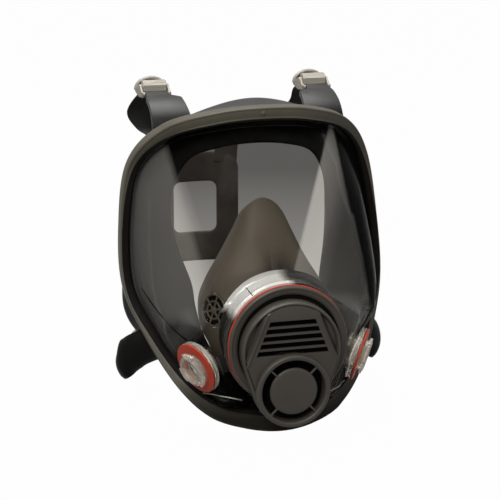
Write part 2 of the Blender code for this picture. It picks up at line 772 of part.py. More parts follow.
def make_cover_inside(plate_rear, rubber, clear):
    """The speech diaphragm behind the grille, and the exhalation valve in its housing."""
    speech = axes((0, -plate_rear, DIAPHRAGM_HEIGHT), (0, -1, 0))
    turned(
        "speech_diaphragm",
        [
            (0, -FIT - DIAPHRAGM_DISH),
            (DIAPHRAGM_RADIUS - DIAPHRAGM_RIM, -FIT - DIAPHRAGM_DISH),
            (DIAPHRAGM_RADIUS - DIAPHRAGM_RIM, -FIT),
            (DIAPHRAGM_RADIUS, -FIT),
            (DIAPHRAGM_RADIUS, -FIT - DIAPHRAGM_DEPTH),
            (0, -FIT - DIAPHRAGM_DEPTH),
        ],
        clear,
        speech,
        32,
    )
    seat_front = -EGG_DEPTH + COVER_WALL + JOIN + FIT + VALVE_SEAT_DEPTH
    seat = axes((0, -plate_rear - seat_front, VALVE_HEIGHT), (0, -1, 0))
    land = VALVE_FLAP_RADIUS - VALVE_SEAT_LAND
    holes = [sector(VALVE_HUB_RADIUS, land, angle, VALVE_SEAT_BAR, 6) for angle in (45, 135, 225, 315)]
    prism(
        "exhalation_valve_seat",
        circle(VALVE_OPEN_RADIUS - FIT, 36),
        holes,
        -VALVE_SEAT_DEPTH,
        0,
        clear,
        seat,
    )
    flap_place = seat @ Matrix.Translation((0, 0, FIT * MM))
    turned(
        "exhalation_valve",
        [(0, VALVE_FLAP_THICKNESS), (VALVE_FLAP_RADIUS, VALVE_FLAP_EDGE), (VALVE_FLAP_RADIUS, 0), (0, 0)],
        rubber,
        flap_place,
        32,
    )


def make_filter_port(label, side, clear, red, rubber):
    """One bayonet filter port on its facet of the lens, with its gasket and its inhalation valve."""
    place = port_place(side)
    seat = -PORT_LENS_DEPTH + LENS_THICKNESS / 2 + 2 * FIT
    rear = -PORT_LENS_DEPTH - PORT_NECK_LENGTH
    flange_front = -PORT_GASKET_THICKNESS - FIT
    gasket_inner = PORT_COLLAR_RADIUS + FIT
    body = turned(
        f"{label}_port_body",
        [
            (PORT_BORE_RADIUS, PORT_COLLAR_LENGTH),
            (PORT_COLLAR_RADIUS, PORT_COLLAR_LENGTH),
            (PORT_COLLAR_RADIUS, flange_front),
            (PORT_GASKET_RADIUS, flange_front),
            (PORT_GASKET_RADIUS, flange_front - PORT_FLANGE_THICKNESS),
            (PORT_NECK_RADIUS + PORT_FOOT, seat),
            (PORT_NECK_RADIUS, seat),
            (PORT_NECK_RADIUS, rear),
            (PORT_BORE_RADIUS, rear),
        ],
        clear,
        place,
        28,
    )
    lug_top = PORT_COLLAR_LENGTH - PORT_LUG_STEP
    lug_low = PORT_COLLAR_LENGTH - PORT_LUG_THICKNESS
    root = (PORT_COLLAR_RADIUS + PORT_BORE_RADIUS) / 2
    for number in range(PORT_LUG_COUNT):
        middle = 90 + number * 360 / PORT_LUG_COUNT
        start, end = middle - PORT_LUG_HALF_ANGLE, middle + PORT_LUG_HALF_ANGLE
        outline = arc(PORT_COLLAR_RADIUS + PORT_LUG_REACH, start, end, 4) + arc(root, end, start, 4)
        lug = prism(f"{label}_port_lug_{number}", outline, [], lug_low, lug_top, clear, place)
        combine(body, lug, "UNION")
    turned(
        f"{label}_port_gasket",
        [
            (gasket_inner, 0),
            (PORT_GASKET_RADIUS, 0),
            (PORT_GASKET_RADIUS, -PORT_GASKET_THICKNESS),
            (gasket_inner, -PORT_GASKET_THICKNESS),
        ],
        red,
        place,
        28,
    )
    flap = place @ Matrix.Translation((0, 0, (rear - FIT) * MM))
    radius = (PORT_NECK_RADIUS + PORT_BORE_RADIUS) / 2
    turned(
        f"{label}_inhalation_valve",
        [(0, 0), (radius, 0), (radius, -INHALE_FLAP_THICKNESS), (0, -INHALE_FLAP_THICKNESS)],
        rubber,
        flap,
        20,
    )


def make_nose_cup(rubber, dark):
    """The nose cup, from its soft edge to the collar in the adapter, with its two check valves."""
    at = stations(CUP_REAR_OUTLINE)
    rear = spline(CUP_REAR_OUTLINE, at)
    middle = spline(CUP_MIDDLE_OUTLINE, at)
    turn = np.arctan2(middle[:, 0], middle[:, 2] - PORT_HEIGHT)
    radius = BORE_RADIUS - FIT - CUP_THICKNESS / 2
    away = outward(CUP_MIDDLE_OUTLINE, at)
    root = port_ring(turn, radius, ADAPTER_REAR + CUP_ROOT_STEP)
    rings = [rear, (rear + middle) / 2 + away * CUP_SWELL, middle]
    rings += [middle + (root - middle) * share + away * bow for share, bow in CUP_BOWS]
    rings += [root, port_ring(turn, radius, ADAPTER_REAR - CUP_COLLAR_LENGTH)]
    rings = np.stack(rings)
    faces = grid_faces(rings.shape[0], rings.shape[1], False, True)
    cup = add("nose_cup", rings.reshape(-1, 3), faces, rubber)
    thicken(cup, CUP_THICKNESS)
    for label, side in sides():
        place = axes(mirrored(CUP_VALVE_CENTRE, side), mirrored(CUP_VALVE_AXIS, side))
        cut = plug(CUP_VALVE_RADIUS + FIT, 3 * CUP_SEAT_DEPTH)
        hole = turned(f"{label}_cup_hole", cut, rubber, place, 28)
        combine(cup, hole, "DIFFERENCE")
        hub, ring_in, ring_out = CUP_SEAT_RINGS
        rim = CUP_VALVE_RADIUS - CUP_SEAT_RIM
        grid = [sector(hub, ring_in, 45 + 90 * k, CUP_SEAT_BARS[0], 4) for k in range(4)]
        grid += [sector(ring_out, rim, 90 * k, CUP_SEAT_BARS[1], 6) for k in range(4)]
        half = CUP_SEAT_DEPTH / 2
        prism(f"{label}_cup_valve_seat", circle(CUP_VALVE_RADIUS, 24), grid, -half, half, rubber, place)
        flap = place @ Matrix.Translation((0, 0, (-half - FIT) * MM))
        size = CUP_VALVE_RADIUS - CUP_FLAP_INSET
        turned(
            f"{label}_cup_valve",
            [(0, 0), (size, 0), (size, -CUP_FLAP_THICKNESS), (0, -CUP_FLAP_THICKNESS)],
            dark,
            flap,
            20,
        )
    settle(cup)


def make_buckle(name, place, metal):
    """A roller buckle in its own place: X along the pivot bar, Y back along the strap, Z off the head."""
    pivot = empty(f"{name}_pivot", place)
    half = LUG_WIDTH / 2 + RUN
    outline = hull((0, 0, CHEEK_NOSE), (*ROLLER_SEAT, CHEEK_ROUND), (*REAR_BAR_SEAT, CHEEK_TAIL), count=16)
    hole = circle(ROLLER_PIN_RADIUS + RUN / 2, 12, ROLLER_SEAT)
    # The cheeks are cut in a plane whose X is the buckle's Y and whose Y is the buckle's Z
    turn = place @ Matrix(((0, 0, 1, 0), (1, 0, 0, 0), (0, 1, 0, 0), (0, 0, 0, 1)))
    frame = prism(f"{name}_frame", outline, [hole], half, half + CHEEK_THICKNESS, metal, turn, pivot)
    other = prism(f"{name}_far_cheek", outline, [hole], -half - CHEEK_THICKNESS, -half, metal, turn)
    combine(frame, other, "UNION")
    bars = (("bar", (0, 0), BUCKLE_BAR_RADIUS), ("rear_bar", REAR_BAR_SEAT, REAR_BAR_RADIUS))
    for part, seat, radius in bars:
        end = half + CHEEK_THICKNESS / 2
        bar = prism(f"{name}_{part}", circle(radius, 8, seat), [], -end, end, metal, turn)
        combine(frame, bar, "UNION")
    reach = half + CHEEK_THICKNESS
    roller = turn @ Matrix.Translation((ROLLER_SEAT[0] * MM, ROLLER_SEAT[1] * MM, 0))
    turned(
        f"{name}_roller",
        [
            (0, reach),
            (ROLLER_PIN_RADIUS, reach),
            (ROLLER_PIN_RADIUS, half - FIT),
            (ROLLER_RADIUS, half - FIT),
            (ROLLER_RADIUS, -half + FIT),
            (ROLLER_PIN_RADIUS, -half + FIT),
            (ROLLER_PIN_RADIUS, -reach),
            (0, -reach),
        ],
        metal,
        roller,
        16,
        pivot,
    )


def upper_buckle_place(side):
    place = Matrix.Translation((side * UPPER_LUG_X * MM, UPPER_PIVOT[0] * MM, UPPER_PIVOT[1] * MM))
    return place @ Matrix.Rotation(math.radians(UPPER_BUCKLE_PITCH), 4, "X")


def lower_buckle_place(side):
    """X runs up the pivot bar, Y back along the strap and Z away from the head."""
    yaw = math.radians(LOWER_BUCKLE_YAW)
    back = np.array([-side * math.sin(yaw), math.cos(yaw), 0])
    off = np.array([side * math.cos(yaw), math.sin(yaw), 0])
    up = np.cross(back, off)
    place = Matrix([[*row, 0] for row in np.stack([up, back, off], 1)] + [[0, 0, 0, 1]])
    place.translation = Vector((side * LOWER_PIVOT[0], LOWER_PIVOT[1], lower_lug_height(*LOWER_PIVOT))) * MM
    return place


def strap_route(place):
    """The front of a strap's centre line: its end behind the roller, then down and out under the rear bar."""
    under = REAR_BAR_SEAT[1] - REAR_BAR_RADIUS - RUN - STRAP_THICKNESS / 2
    behind = ROLLER_SEAT[0] + ROLLER_RADIUS + RUN + STRAP_THICKNESS / 2 + 0.1
    near = [
        (behind, ROLLER_SEAT[1] + 3),
        (behind + 0.2, ROLLER_SEAT[1] - 2),
        (behind + 2.4, under - 0.4),
        (REAR_BAR_SEAT[0] + 2, under - 1.6),
        (REAR_BAR_SEAT[0] + 9, under - 3.6),
    ]
    return [np.array(place @ Vector((0, s * MM, k * MM))) / MM for s, k in near]


def cradle_bend(x, z, off=0.0):
    """A point of the cradle plate, bent round the back of the head."""
    turn = x / CRADLE_BEND_RADIUS
    radius = CRADLE_BEND_RADIUS + off
    back = CRADLE_Y - CRADLE_BEND_RADIUS + radius * math.cos(turn)
    return (radius * math.sin(turn), back, CRADLE_HEIGHT + z)


def make_harness(rubber):
    """The rubber head harness: a bent cradle plate with its window, and four straps joined to its corners."""
    flat = Matrix.Identity(4)
    harness = prism(
        "head_harness",
        rounded(CRADLE_HALF_WIDTH, CRADLE_HALF_HEIGHT, CRADLE_CORNER),
        [rounded(*CRADLE_WINDOW_HALF, CRADLE_WINDOW_CORNER)],
        -CRADLE_THICKNESS / 2,
        CRADLE_THICKNESS / 2,
        rubber,
        flat,
    )
    shape = bmesh.new()
    shape.from_mesh(harness.data)
    long_edges = [e for e in shape.edges if e.calc_length() > 12 * MM]
    bmesh.ops.subdivide_edges(shape, edges=long_edges, cuts=2, use_grid_fill=True)
    bmesh.ops.triangulate(shape, faces=shape.faces)
    for vert in shape.verts:
        x, z, off = (value / MM for value in vert.co)
        vert.co = Vector(cradle_bend(x, z, off)) * MM
    bmesh.ops.recalc_face_normals(shape, faces=shape.faces)
    shape.to_mesh(harness.data)
    shape.free()
    reach_x, reach_z = CRADLE_HALF_WIDTH - STRAP_ROOT[0], CRADLE_HALF_HEIGHT - STRAP_ROOT[1]
    for label, side in sides():
        for level, place, end_z, bows, across in (
            ("upper", upper_buckle_place(side), reach_z, UPPER_STRAP_BOWS, (1, 0, 0)),
            ("lower", lower_buckle_place(side), -reach_z, LOWER_STRAP_BOWS, (0, 0, 1)),
        ):
            start = strap_route(place)
            end = np.array(cradle_bend(side * reach_x, end_z))
            way = [start[-1] * (1 - share) + end * share + mirrored(bow, side) for share, bow in bows]
            line = curve_through([*start, *way, end], 3)
            strap = band(f"{label}_{level}_strap", line, STRAP_WIDTH / 2, STRAP_THICKNESS / 2, across, rubber)
            combine(harness, strap, "UNION")


def main():
    for old in list(bpy.data.objects):
        bpy.data.objects.remove(old, do_unlink=True)
    frame_plastic = material("frame_plastic", (0.115, 0.105, 0.078), 0.5)
    seal_rubber = material("seal_rubber", (0.035, 0.033, 0.030), 0.6)
    cup_rubber = material("cup_rubber", (0.10, 0.085, 0.068), 0.6)
    cover_plastic = material("cover_plastic", (0.05, 0.047, 0.04), 0.5)
    gasket_red = material("gasket_red", (0.50, 0.07, 0.035), 0.5)
    clear_plastic = material("clear_plastic", (0.9, 0.92, 0.9), 0.1, 0.0, 0.9)
    lens_plastic = material("lens_plastic", (0.95, 0.96, 0.95), 0.05, 0.0, 1.0)
    nickel = material("nickel", (0.72, 0.69, 0.60), 0.3, 1.0)
    valve_rubber = material("valve_rubber", (0.25, 0.22, 0.17), 0.6)
    make_frame(frame_plastic)
    make_lens(lens_plastic)
    make_seal(seal_rubber)
    cover_rear = make_centre_port(clear_plastic, gasket_red)
    plate_rear = make_cover(cover_rear, cover_plastic)
    make_cover_inside(plate_rear, valve_rubber, clear_plastic)
    for label, side in sides():
        make_filter_port(label, side, clear_plastic, gasket_red, valve_rubber)
    make_nose_cup(cup_rubber, valve_rubber)
    for label, side in sides():
        make_buckle(f"upper_{label}_buckle", upper_buckle_place(side), nickel)
        make_buckle(f"lower_{label}_buckle", lower_buckle_place(side), nickel)
    make_harness(seal_rubber)


main()
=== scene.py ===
import math

import bmesh
import bpy
import numpy as np
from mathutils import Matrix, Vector


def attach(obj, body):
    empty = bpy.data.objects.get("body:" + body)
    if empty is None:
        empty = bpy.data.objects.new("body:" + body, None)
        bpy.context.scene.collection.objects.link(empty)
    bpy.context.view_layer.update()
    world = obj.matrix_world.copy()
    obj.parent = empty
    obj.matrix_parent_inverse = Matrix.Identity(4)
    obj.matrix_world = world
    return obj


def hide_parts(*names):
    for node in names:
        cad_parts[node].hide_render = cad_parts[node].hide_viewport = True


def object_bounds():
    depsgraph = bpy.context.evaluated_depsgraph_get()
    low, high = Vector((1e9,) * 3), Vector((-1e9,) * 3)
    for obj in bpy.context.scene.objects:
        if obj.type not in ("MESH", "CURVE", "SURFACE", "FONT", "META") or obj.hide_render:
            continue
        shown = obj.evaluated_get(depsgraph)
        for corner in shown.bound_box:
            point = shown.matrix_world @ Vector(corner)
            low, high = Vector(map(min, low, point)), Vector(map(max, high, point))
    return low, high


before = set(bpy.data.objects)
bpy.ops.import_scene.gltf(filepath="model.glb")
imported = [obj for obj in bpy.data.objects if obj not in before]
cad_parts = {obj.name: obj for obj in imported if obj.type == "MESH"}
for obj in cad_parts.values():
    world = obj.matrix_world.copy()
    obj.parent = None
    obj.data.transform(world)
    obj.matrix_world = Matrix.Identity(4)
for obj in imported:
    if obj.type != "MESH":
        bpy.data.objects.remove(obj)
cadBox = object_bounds()
mm = 0.001
sides = (("right", -1), ("left", 1))  # the wearer's own sides: left lies on +X
print("frame loaded:", len(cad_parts), "solids")


# Shared shapes. Everything is worked out in millimetres, +Z up, the mask looking along -Y.
# A place is an origin and a matrix whose columns are its own X, Y and Z axes.

def smoothRun(a, b, c, d, t):
    # the cubic from b to c that leaves along a to c and arrives along b to d, t going from 0 to 1
    return 0.5 * (2 * b + (c - a) * t + (2 * a - 5 * b + 4 * c - d) * t**2 + (3 * b - a - 3 * c + d) * t**3)


def eased(t):
    # 3t^2 - 2t^3, held at 0 and 1 outside that range
    t = np.clip(t, 0, 1)
    return t * t * (3 - 2 * t)


def loopAt(half, at):
    # smooth closed curve through the half outline and its mirror image, read at the places "at"
    half = np.asarray(half, float)
    loop = np.vstack([half, half[1:-1][::-1] * [-1, 1, 1]])
    base = np.floor(at).astype(int)
    return smoothRun(*(loop[(base + k) % len(loop)] for k in (-1, 0, 1, 2)), (at - base)[:, None])


def halfValue(values, at):
    # a size given from forehead to chin, read on both halves
    last = len(values) - 1
    return np.interp(np.abs((at + last) % (2 * last) - last), np.arange(last + 1), values)


def awayFrom(half, at):
    # unit vectors across the outline in the XZ plane, away from its middle
    along = loopAt(half, at + 0.05) - loopAt(half, at - 0.05)
    across = np.stack([-along[:, 2], np.zeros(len(at)), along[:, 0]], 1)
    across *= np.sign((across * (loopAt(half, at) - [0, 0, 20])).sum(1))[:, None]
    return across / np.linalg.norm(across, axis=1)[:, None]


def through(points, count):
    # smooth open run through control rows, along the first axis
    p = np.asarray(points, float)
    ends = np.concatenate([2 * p[:1] - p[1:2], p, 2 * p[-1:] - p[-2:-1]])
    at = np.linspace(0, len(p) - 1, count)
    base = np.minimum(np.floor(at).astype(int), len(p) - 2)
    return smoothRun(*(ends[base + k] for k in range(4)), (at - base).reshape(-1, *[1] * (p.ndim - 1)))


def quads(rows, columns, closeRows, closeColumns):
    # faces between neighbouring rows and columns of a grid, as numbers of its points
    i = np.arange(rows if closeRows else rows - 1)[:, None]
    j = np.arange(columns if closeColumns else columns - 1)[None, :]
    a = i * columns + j
    b = i * columns + (j + 1) % columns
    c = (i + 1) % rows * columns + (j + 1) % columns
    d = (i + 1) % rows * columns + j
    return np.stack([a, b, c, d], -1).reshape(-1, 4)


def surface(grid, closeRows=False, closeColumns=True, capEnds=False):
    # a grid of points as (points, faces); capEnds closes the first and last row on their middles
    rows, columns = grid.shape[:2]
    points = grid.reshape(-1, 3)
    faces = quads(rows, columns, closeRows, closeColumns).tolist()
    if capEnds:
        points = np.vstack([points, grid[0].mean(0), grid[-1].mean(0)])
        j = np.arange(columns)
        k = (j + 1) % columns
        first, last = len(points) - 2, len(points) - 1
        faces += np.stack([k, j, np.full_like(j, first)], 1).tolist()
        base = (rows - 1) * columns
        faces += np.stack([base + j, base + k, np.full_like(j, last)], 1).tolist()
    return points, faces


def wall(rings, half, rim=4):
    # both faces of a wall of the given half thickness round a sheet of closed rings, with half-round rims
    down = np.gradient(rings, axis=0)
    around = np.roll(rings, -1, 1) - np.roll(rings, 1, 1)
    normal = np.cross(down, around)
    normal /= np.linalg.norm(normal, axis=2, keepdims=True) + 1e-9
    tangent = down / (np.linalg.norm(down, axis=2, keepdims=True) + 1e-9)
    turn = np.linspace(0, np.pi, rim + 2)[1:-1, None, None]
    low = rings[-1] + half * (np.cos(turn) * normal[-1] + np.sin(turn) * tangent[-1])
    high = rings[0] + half * (-np.cos(turn) * normal[0] - np.sin(turn) * tangent[0])
    loop = np.concatenate([rings + half * normal, low, (rings - half * normal)[::-1], high])
    return surface(loop, True, True)


def looking(origin, forward):
    # a place whose Z axis looks along forward and whose X axis is level
    z = np.asarray(forward, float) / np.linalg.norm(forward)
    x = np.cross([0, 0, 1], z)
    x /= np.linalg.norm(x)
    return np.asarray(origin, float), np.stack([x, np.cross(z, x), z], 1)


def putAt(points, place):
    # points given in the place's own axes
    origin, turned = place
    return origin + np.asarray(points, float) @ turned.T


def lathe(profile, place, steps=72):
    # profile of (radius, height) turned about the place's Z axis, on which it may start and end
    radius, height = np.asarray(profile, float).T
    angle = np.linspace(0, 2 * np.pi, steps, endpoint=False)[:, None]
    grid = np.stack([np.cos(angle) * radius, np.sin(angle) * radius, np.tile(height, (steps, 1))], 2)
    return surface(putAt(grid, place), True, radius[0] > 0)


def sweep(line, side, profile):
    # profile of (across, up) carried along a line, its across lying near "side"; the ends are capped
    line = np.asarray(line, float)
    along = np.gradient(line, axis=0)
    along /= np.linalg.norm(along, axis=1, keepdims=True)
    side = np.broadcast_to(np.asarray(side, float), line.shape)
    side = side - along * (side * along).sum(1, keepdims=True)
    side /= np.linalg.norm(side, axis=1, keepdims=True)
    up = np.cross(side, along)
    profile = np.broadcast_to(np.asarray(profile, float), (len(line), *np.shape(profile)[-2:]))
    grid = line[:, None] + side[:, None] * profile[..., :1] + up[:, None] * profile[..., 1:]
    return surface(grid, capEnds=True)


def spoke(place, angle, reach, height, bar):
    # a bar carried straight out from the place's Z axis, between two radii
    way = np.array([math.cos(angle), math.sin(angle), 0])
    line = np.linspace(*reach, 6)[:, None] * way + [0, 0, height]
    return sweep(putAt(line, place), place[1] @ np.cross([0, 0, 1], way), bar)


def roundedBar(halfWidth, halfHeight, radius, count=5):
    # outline of a bar with rounded corners
    turn = np.linspace(0, np.pi / 2, count)
    corners = []
    for k, signs in enumerate(((1, 1), (-1, 1), (-1, -1), (1, -1))):
        a = turn + k * np.pi / 2
        middle = np.array(signs) * [halfWidth - radius, halfHeight - radius]
        corners.append(middle + radius * np.stack([np.cos(a), np.sin(a)], 1))
    return np.vstack(corners)


def ringOf(radius, count):
    a = np.linspace(0, 2 * np.pi, count, endpoint=False)
    return np.stack([radius * np.cos(a), radius * np.sin(a)], 1)


def flip(vector, side):
    return np.asarray(vector, float) * [side, 1, 1]


def makePiece(name, parts, finish, body, nodes=(), sharp=38):
    # joins parts into one mesh in metres, closes doubles, turns faces outwards
    points, faces, start = [], [], 0
    for p, f in parts:
        points.append(p)
        faces += [[v + start for v in face] for face in f]
        start += len(p)
    mesh = bpy.data.meshes.new(name)
    mesh.from_pydata((np.vstack(points) * mm).tolist(), [], faces)
    shape = bmesh.new()
    shape.from_mesh(mesh)
    bmesh.ops.remove_doubles(shape, verts=shape.verts, dist=2e-6)
    bmesh.ops.dissolve_degenerate(shape, edges=shape.edges, dist=1e-7)
    bmesh.ops.recalc_face_normals(shape, faces=shape.faces)
    shape.to_mesh(mesh)
    shape.free()
    mesh.shade_smooth()
    mesh.set_sharp_from_angle(angle=math.radians(sharp))
    mesh.materials.append(finish)
    made = bpy.data.objects.new(name, mesh)
    bpy.context.scene.collection.objects.link(made)
    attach(made, body)
    if nodes:
        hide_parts(*nodes)
    return made


def addModifier(piece, kind, **settings):
    made = piece.modifiers.new(kind.lower(), kind)
    for key, value in settings.items():
        setattr(made, key, value)
    return made


def cutHole(piece, name, place, radius, reach, finish):
    # a round hole through the piece, along the place's Z axis
    plug = lathe([(0, reach), (radius, reach), (radius, -reach), (0, -reach)], place, 64)
    cutter = makePiece(name, [plug], finish, "mask")
    hole = addModifier(piece, "BOOLEAN", operation="DIFFERENCE", object=cutter, solver="EXACT")
    bpy.context.view_layer.objects.active = piece
    bpy.ops.object.modifier_apply(modifier=hole.name)
    bpy.data.objects.remove(cutter)


# Places that the lens, the ports, the cover and the finishes share

centre = {
    "height": -22.0,
    "neckFront": -85.0,
    "neckRoot": -72.0,
    "neckRadius": 42.2,
    "bore": 35.5,
    "tubeWall": 4.2,
    "rear": -62.0,
    "adapter": (86.5, 91.5),  # back and front of the adapter's flange
    "seam": 124.0,  # direction of the moulding seam in degrees
    "gasketRadius": 41.1,
    "gasketWidth": 6.0,
    "gasket": (91.9, 93.7),  # back and front of the red gasket
}
filterPort = {
    "face": (58.6, -72.5, -41.7),
    "axis": (0.855, -0.435, -0.292),
    "lensDepth": 8.0,
    "facetRadius": 29.0,
    "facetBlend": 10.0,
    "collarRadius": 10.8,
    "collarLength": 4.6,
    "bore": 8.4,
    "flange": -2.0,
    "neckRadius": 12.6,
    "neckEnd": -11.2,
    "ribs": 36,
    "ribDepth": 0.22,
    "lugs": 3,
    "lugHalfTurn": 0.42,
    "spokes": 4,
    "gasketRadius": 18.4,
    "gasketBore": 11.2,
    "gasketThickness": 1.6,
}


def portPlace(side, depth=0.0):
    axis = flip(filterPort["axis"], side)
    axis = axis / np.linalg.norm(axis)
    return looking(flip(filterPort["face"], side) - axis * depth, axis)


# Finishes

def newFinish(name):
    made = bpy.data.materials.new(name)
    made.use_nodes = True
    tree = made.node_tree
    return made, tree, tree.nodes["Principled BSDF"]


def feed(tree, made, values):
    # gives a node's inputs another node's output or a plain value
    for key, value in values.items():
        if isinstance(value, bpy.types.NodeSocket):
            tree.links.new(value, made.inputs[key])
        else:
            made.inputs[key].default_value = value


def node(tree, kind, **values):
    # a new node; each value goes to the input of that name, or else to the setting of that name
    made = tree.nodes.new(kind)
    for key, value in values.items():
        if key in made.inputs:
            feed(tree, made, {key: value})
        else:
            setattr(made, key, value)
    return made


def objectPlace(tree):
    return node(tree, "ShaderNodeTexCoord").outputs["Object"]


def noise(tree, place, **values):
    return node(tree, "ShaderNodeTexNoise", Vector=place, **values).outputs["Fac"]


def math2(tree, operation, first, second):
    made = node(tree, "ShaderNodeMath", operation=operation)
    feed(tree, made, {0: first, 1: second})
    return made.outputs["Value"]


def vectorMath(tree, operation, first, second=None):
    made = node(tree, "ShaderNodeVectorMath", operation=operation)
    feed(tree, made, {0: first})
    if second is not None:
        feed(tree, made, {"Scale" if operation == "SCALE" else 1: second})
    return made.outputs["Value" if operation in ("DISTANCE", "DOT_PRODUCT", "LENGTH") else "Vector"]


def mapped(tree, source, fromRange, toRange=(0.0, 1.0), **settings):
    # a value moved from one range to another and held at its ends
    made = node(tree, "ShaderNodeMapRange", **settings)
    limits = zip(("From Min", "From Max", "To Min", "To Max"), (*fromRange, *toRange))
    feed(tree, made, {"Value": source, **dict(limits)})
    return made.outputs["Result"]


def mixed(tree, factor, first, second):
    # two shaders, the second one by the factor
    made = node(tree, "ShaderNodeMixShader")
    feed(tree, made, {0: factor, 1: first, 2: second})
    return made.outputs["Shader"]


def ramp(tree, source, stops):
    made = tree.nodes.new("ShaderNodeValToRGB")
    line = made.color_ramp
    while len(line.elements) < len(stops):
        line.elements.new(0.5)
    for element, (at, colour) in zip(line.elements, stops):
        element.position = at
        element.color = (*colour, 1) if np.ndim(colour) else (colour, colour, colour, 1)
    tree.links.new(source, made.inputs["Fac"])
    return made.outputs["Color"]


def bumped(tree, shader, height, strength, distance):
    bump = node(tree, "ShaderNodeBump", Strength=strength, Distance=distance, Height=height)
    tree.links.new(bump.outputs["Normal"], shader.inputs["Normal"])


def moulded(name, dark, light, rough, grain=900, grainDepth=0.05, patch=45, specular=0.5,
            paintedFade=None, paintedPatch=None):
    # moulded rubber or plastic: slow patches of tone, fine grain in the bump and in the roughness
    # paintedFade: painted light and shade along an axis, scaling colour and sheen: axis, start, end and the
    # tone reached there
    # paintedPatch: a painted round patch, darker for painted shade and lighter for painted light: middle,
    # inner and outer radius, and the tone in its middle
    made, tree, shader = newFinish(name)
    place = objectPlace(tree)
    fine = noise(tree, place, Scale=grain, Detail=3.0, Roughness=0.55)
    patches = noise(tree, place, Scale=patch, Detail=5.0, Roughness=0.6)
    colour = ramp(tree, patches, [(0.3, dark), (0.7, light)])
    sheen = specular
    if paintedFade:
        axis, start, end, tone = paintedFade
        split = node(tree, "ShaderNodeSeparateXYZ", Vector=place)
        level = mapped(tree, split.outputs[axis], (start, end), (1.0, tone))
        sheen = math2(tree, "MULTIPLY", level, specular)
        colour = vectorMath(tree, "SCALE", colour, level)
    if paintedPatch:
        middle, inner, outer, tone = paintedPatch
        away = vectorMath(tree, "DISTANCE", place, middle)
        level = mapped(tree, away, (inner, outer), (tone, 1.0), interpolation_type="SMOOTHSTEP")
        colour = vectorMath(tree, "SCALE", colour, level)
    bumped(tree, shader, fine, grainDepth, 0.0006)
    roughness = ramp(tree, fine, [(0.3, rough[0]), (0.7, rough[1])])
    feed(tree, shader, {"Base Color": colour, "Roughness": roughness, "Specular IOR Level": sheen})
    return made


def clearFinish(name, colour, transmission, rough, paintedArc=None):
    # clear moulded plastic: faint flow marks in the tone, the roughness and the bump
    # paintedArc: a painted highlight, an arc about the centre port painted pale and letting little through,
    # as the direction of its middle in degrees, the cosines at which it fades in, and its strength
    made, tree, shader = newFinish(name)
    place = objectPlace(tree)
    flow = noise(tree, place, Scale=120.0, Detail=4.0, Distortion=1.2)
    tone = ramp(tree, flow, [(0.3, tuple(0.9 * c for c in colour)), (0.7, colour)])
    clearness = transmission
    if paintedArc:
        direction, paintedFade, strength = paintedArc
        turn = math.radians(direction)
        away = vectorMath(tree, "SUBTRACT", place, (0, 0, centre["height"] * mm))
        way = vectorMath(tree, "NORMALIZE", vectorMath(tree, "MULTIPLY", away, (1, 0, 1)))
        cosine = vectorMath(tree, "DOT_PRODUCT", way, (math.cos(turn), 0, math.sin(turn)))
        arc = mapped(tree, cosine, paintedFade, (0.0, strength))
        # the arc's pale colour and low clearness paint the highlight
        blend = node(tree, "ShaderNodeMix", data_type="RGBA")
        feed(tree, blend, {"Factor": arc, "A": tone, "B": (0.66, 0.645, 0.595, 1)})
        tone = blend.outputs["Result"]
        clearness = mapped(tree, arc, (0.0, 1.0), (transmission, 0.1))
    bumped(tree, shader, flow, 0.08, 0.0008)
    roughness = ramp(tree, flow, [(0.3, rough), (0.7, rough + 0.08)])
    feed(tree, shader, {"Base Color": tone, "Roughness": roughness})
    feed(tree, shader, {"Transmission Weight": clearness, "IOR": 1.5})
    return made


def metalFinish(name, colour, rough):
    # drawn nickel: brushed streaks along X in the tone, the roughness and the bump
    made, tree, shader = newFinish(name)
    stretch = node(tree, "ShaderNodeMapping", Vector=objectPlace(tree), Scale=(60.0, 900.0, 900.0))
    streaks = noise(tree, stretch.outputs["Vector"], Scale=1.0, Detail=4.0)
    bumped(tree, shader, streaks, 0.12, 0.0002)
    tone = ramp(tree, streaks, [(0.3, tuple(0.72 * c for c in colour)), (0.65, colour)])
    roughness = ramp(tree, streaks, [(0.3, rough + 0.12), (0.7, rough)])
    feed(tree, shader, {"Base Color": tone, "Roughness": roughness, "Metallic": 0.35})
    return made


crease = {  # planes that part the lens's panels, and the side ones' outer edges: normal and distance in mm
    "left": ((0.91811, -0.33041, -0.21886), 28.5),
    "right": ((-0.95543, 0.13581, -0.26211), 33.8),
    "leftFade": ((0.91811, -0.33041, -0.21886), 42.0),
    "rightEdge": ((-0.963, 0.0, 0.27), 52.0),
    "leftEdge": ((-0.94509, 0.24654, -0.21453), -77.3),
}


def planeStep(tree, name, width):
    # 0 below the named plane, 1 above it
    normal, distance = crease[name]
    along = vectorMath(tree, "DOT_PRODUCT", objectPlace(tree), normal)
    return mapped(tree, along, (distance * mm - width, distance * mm + width))


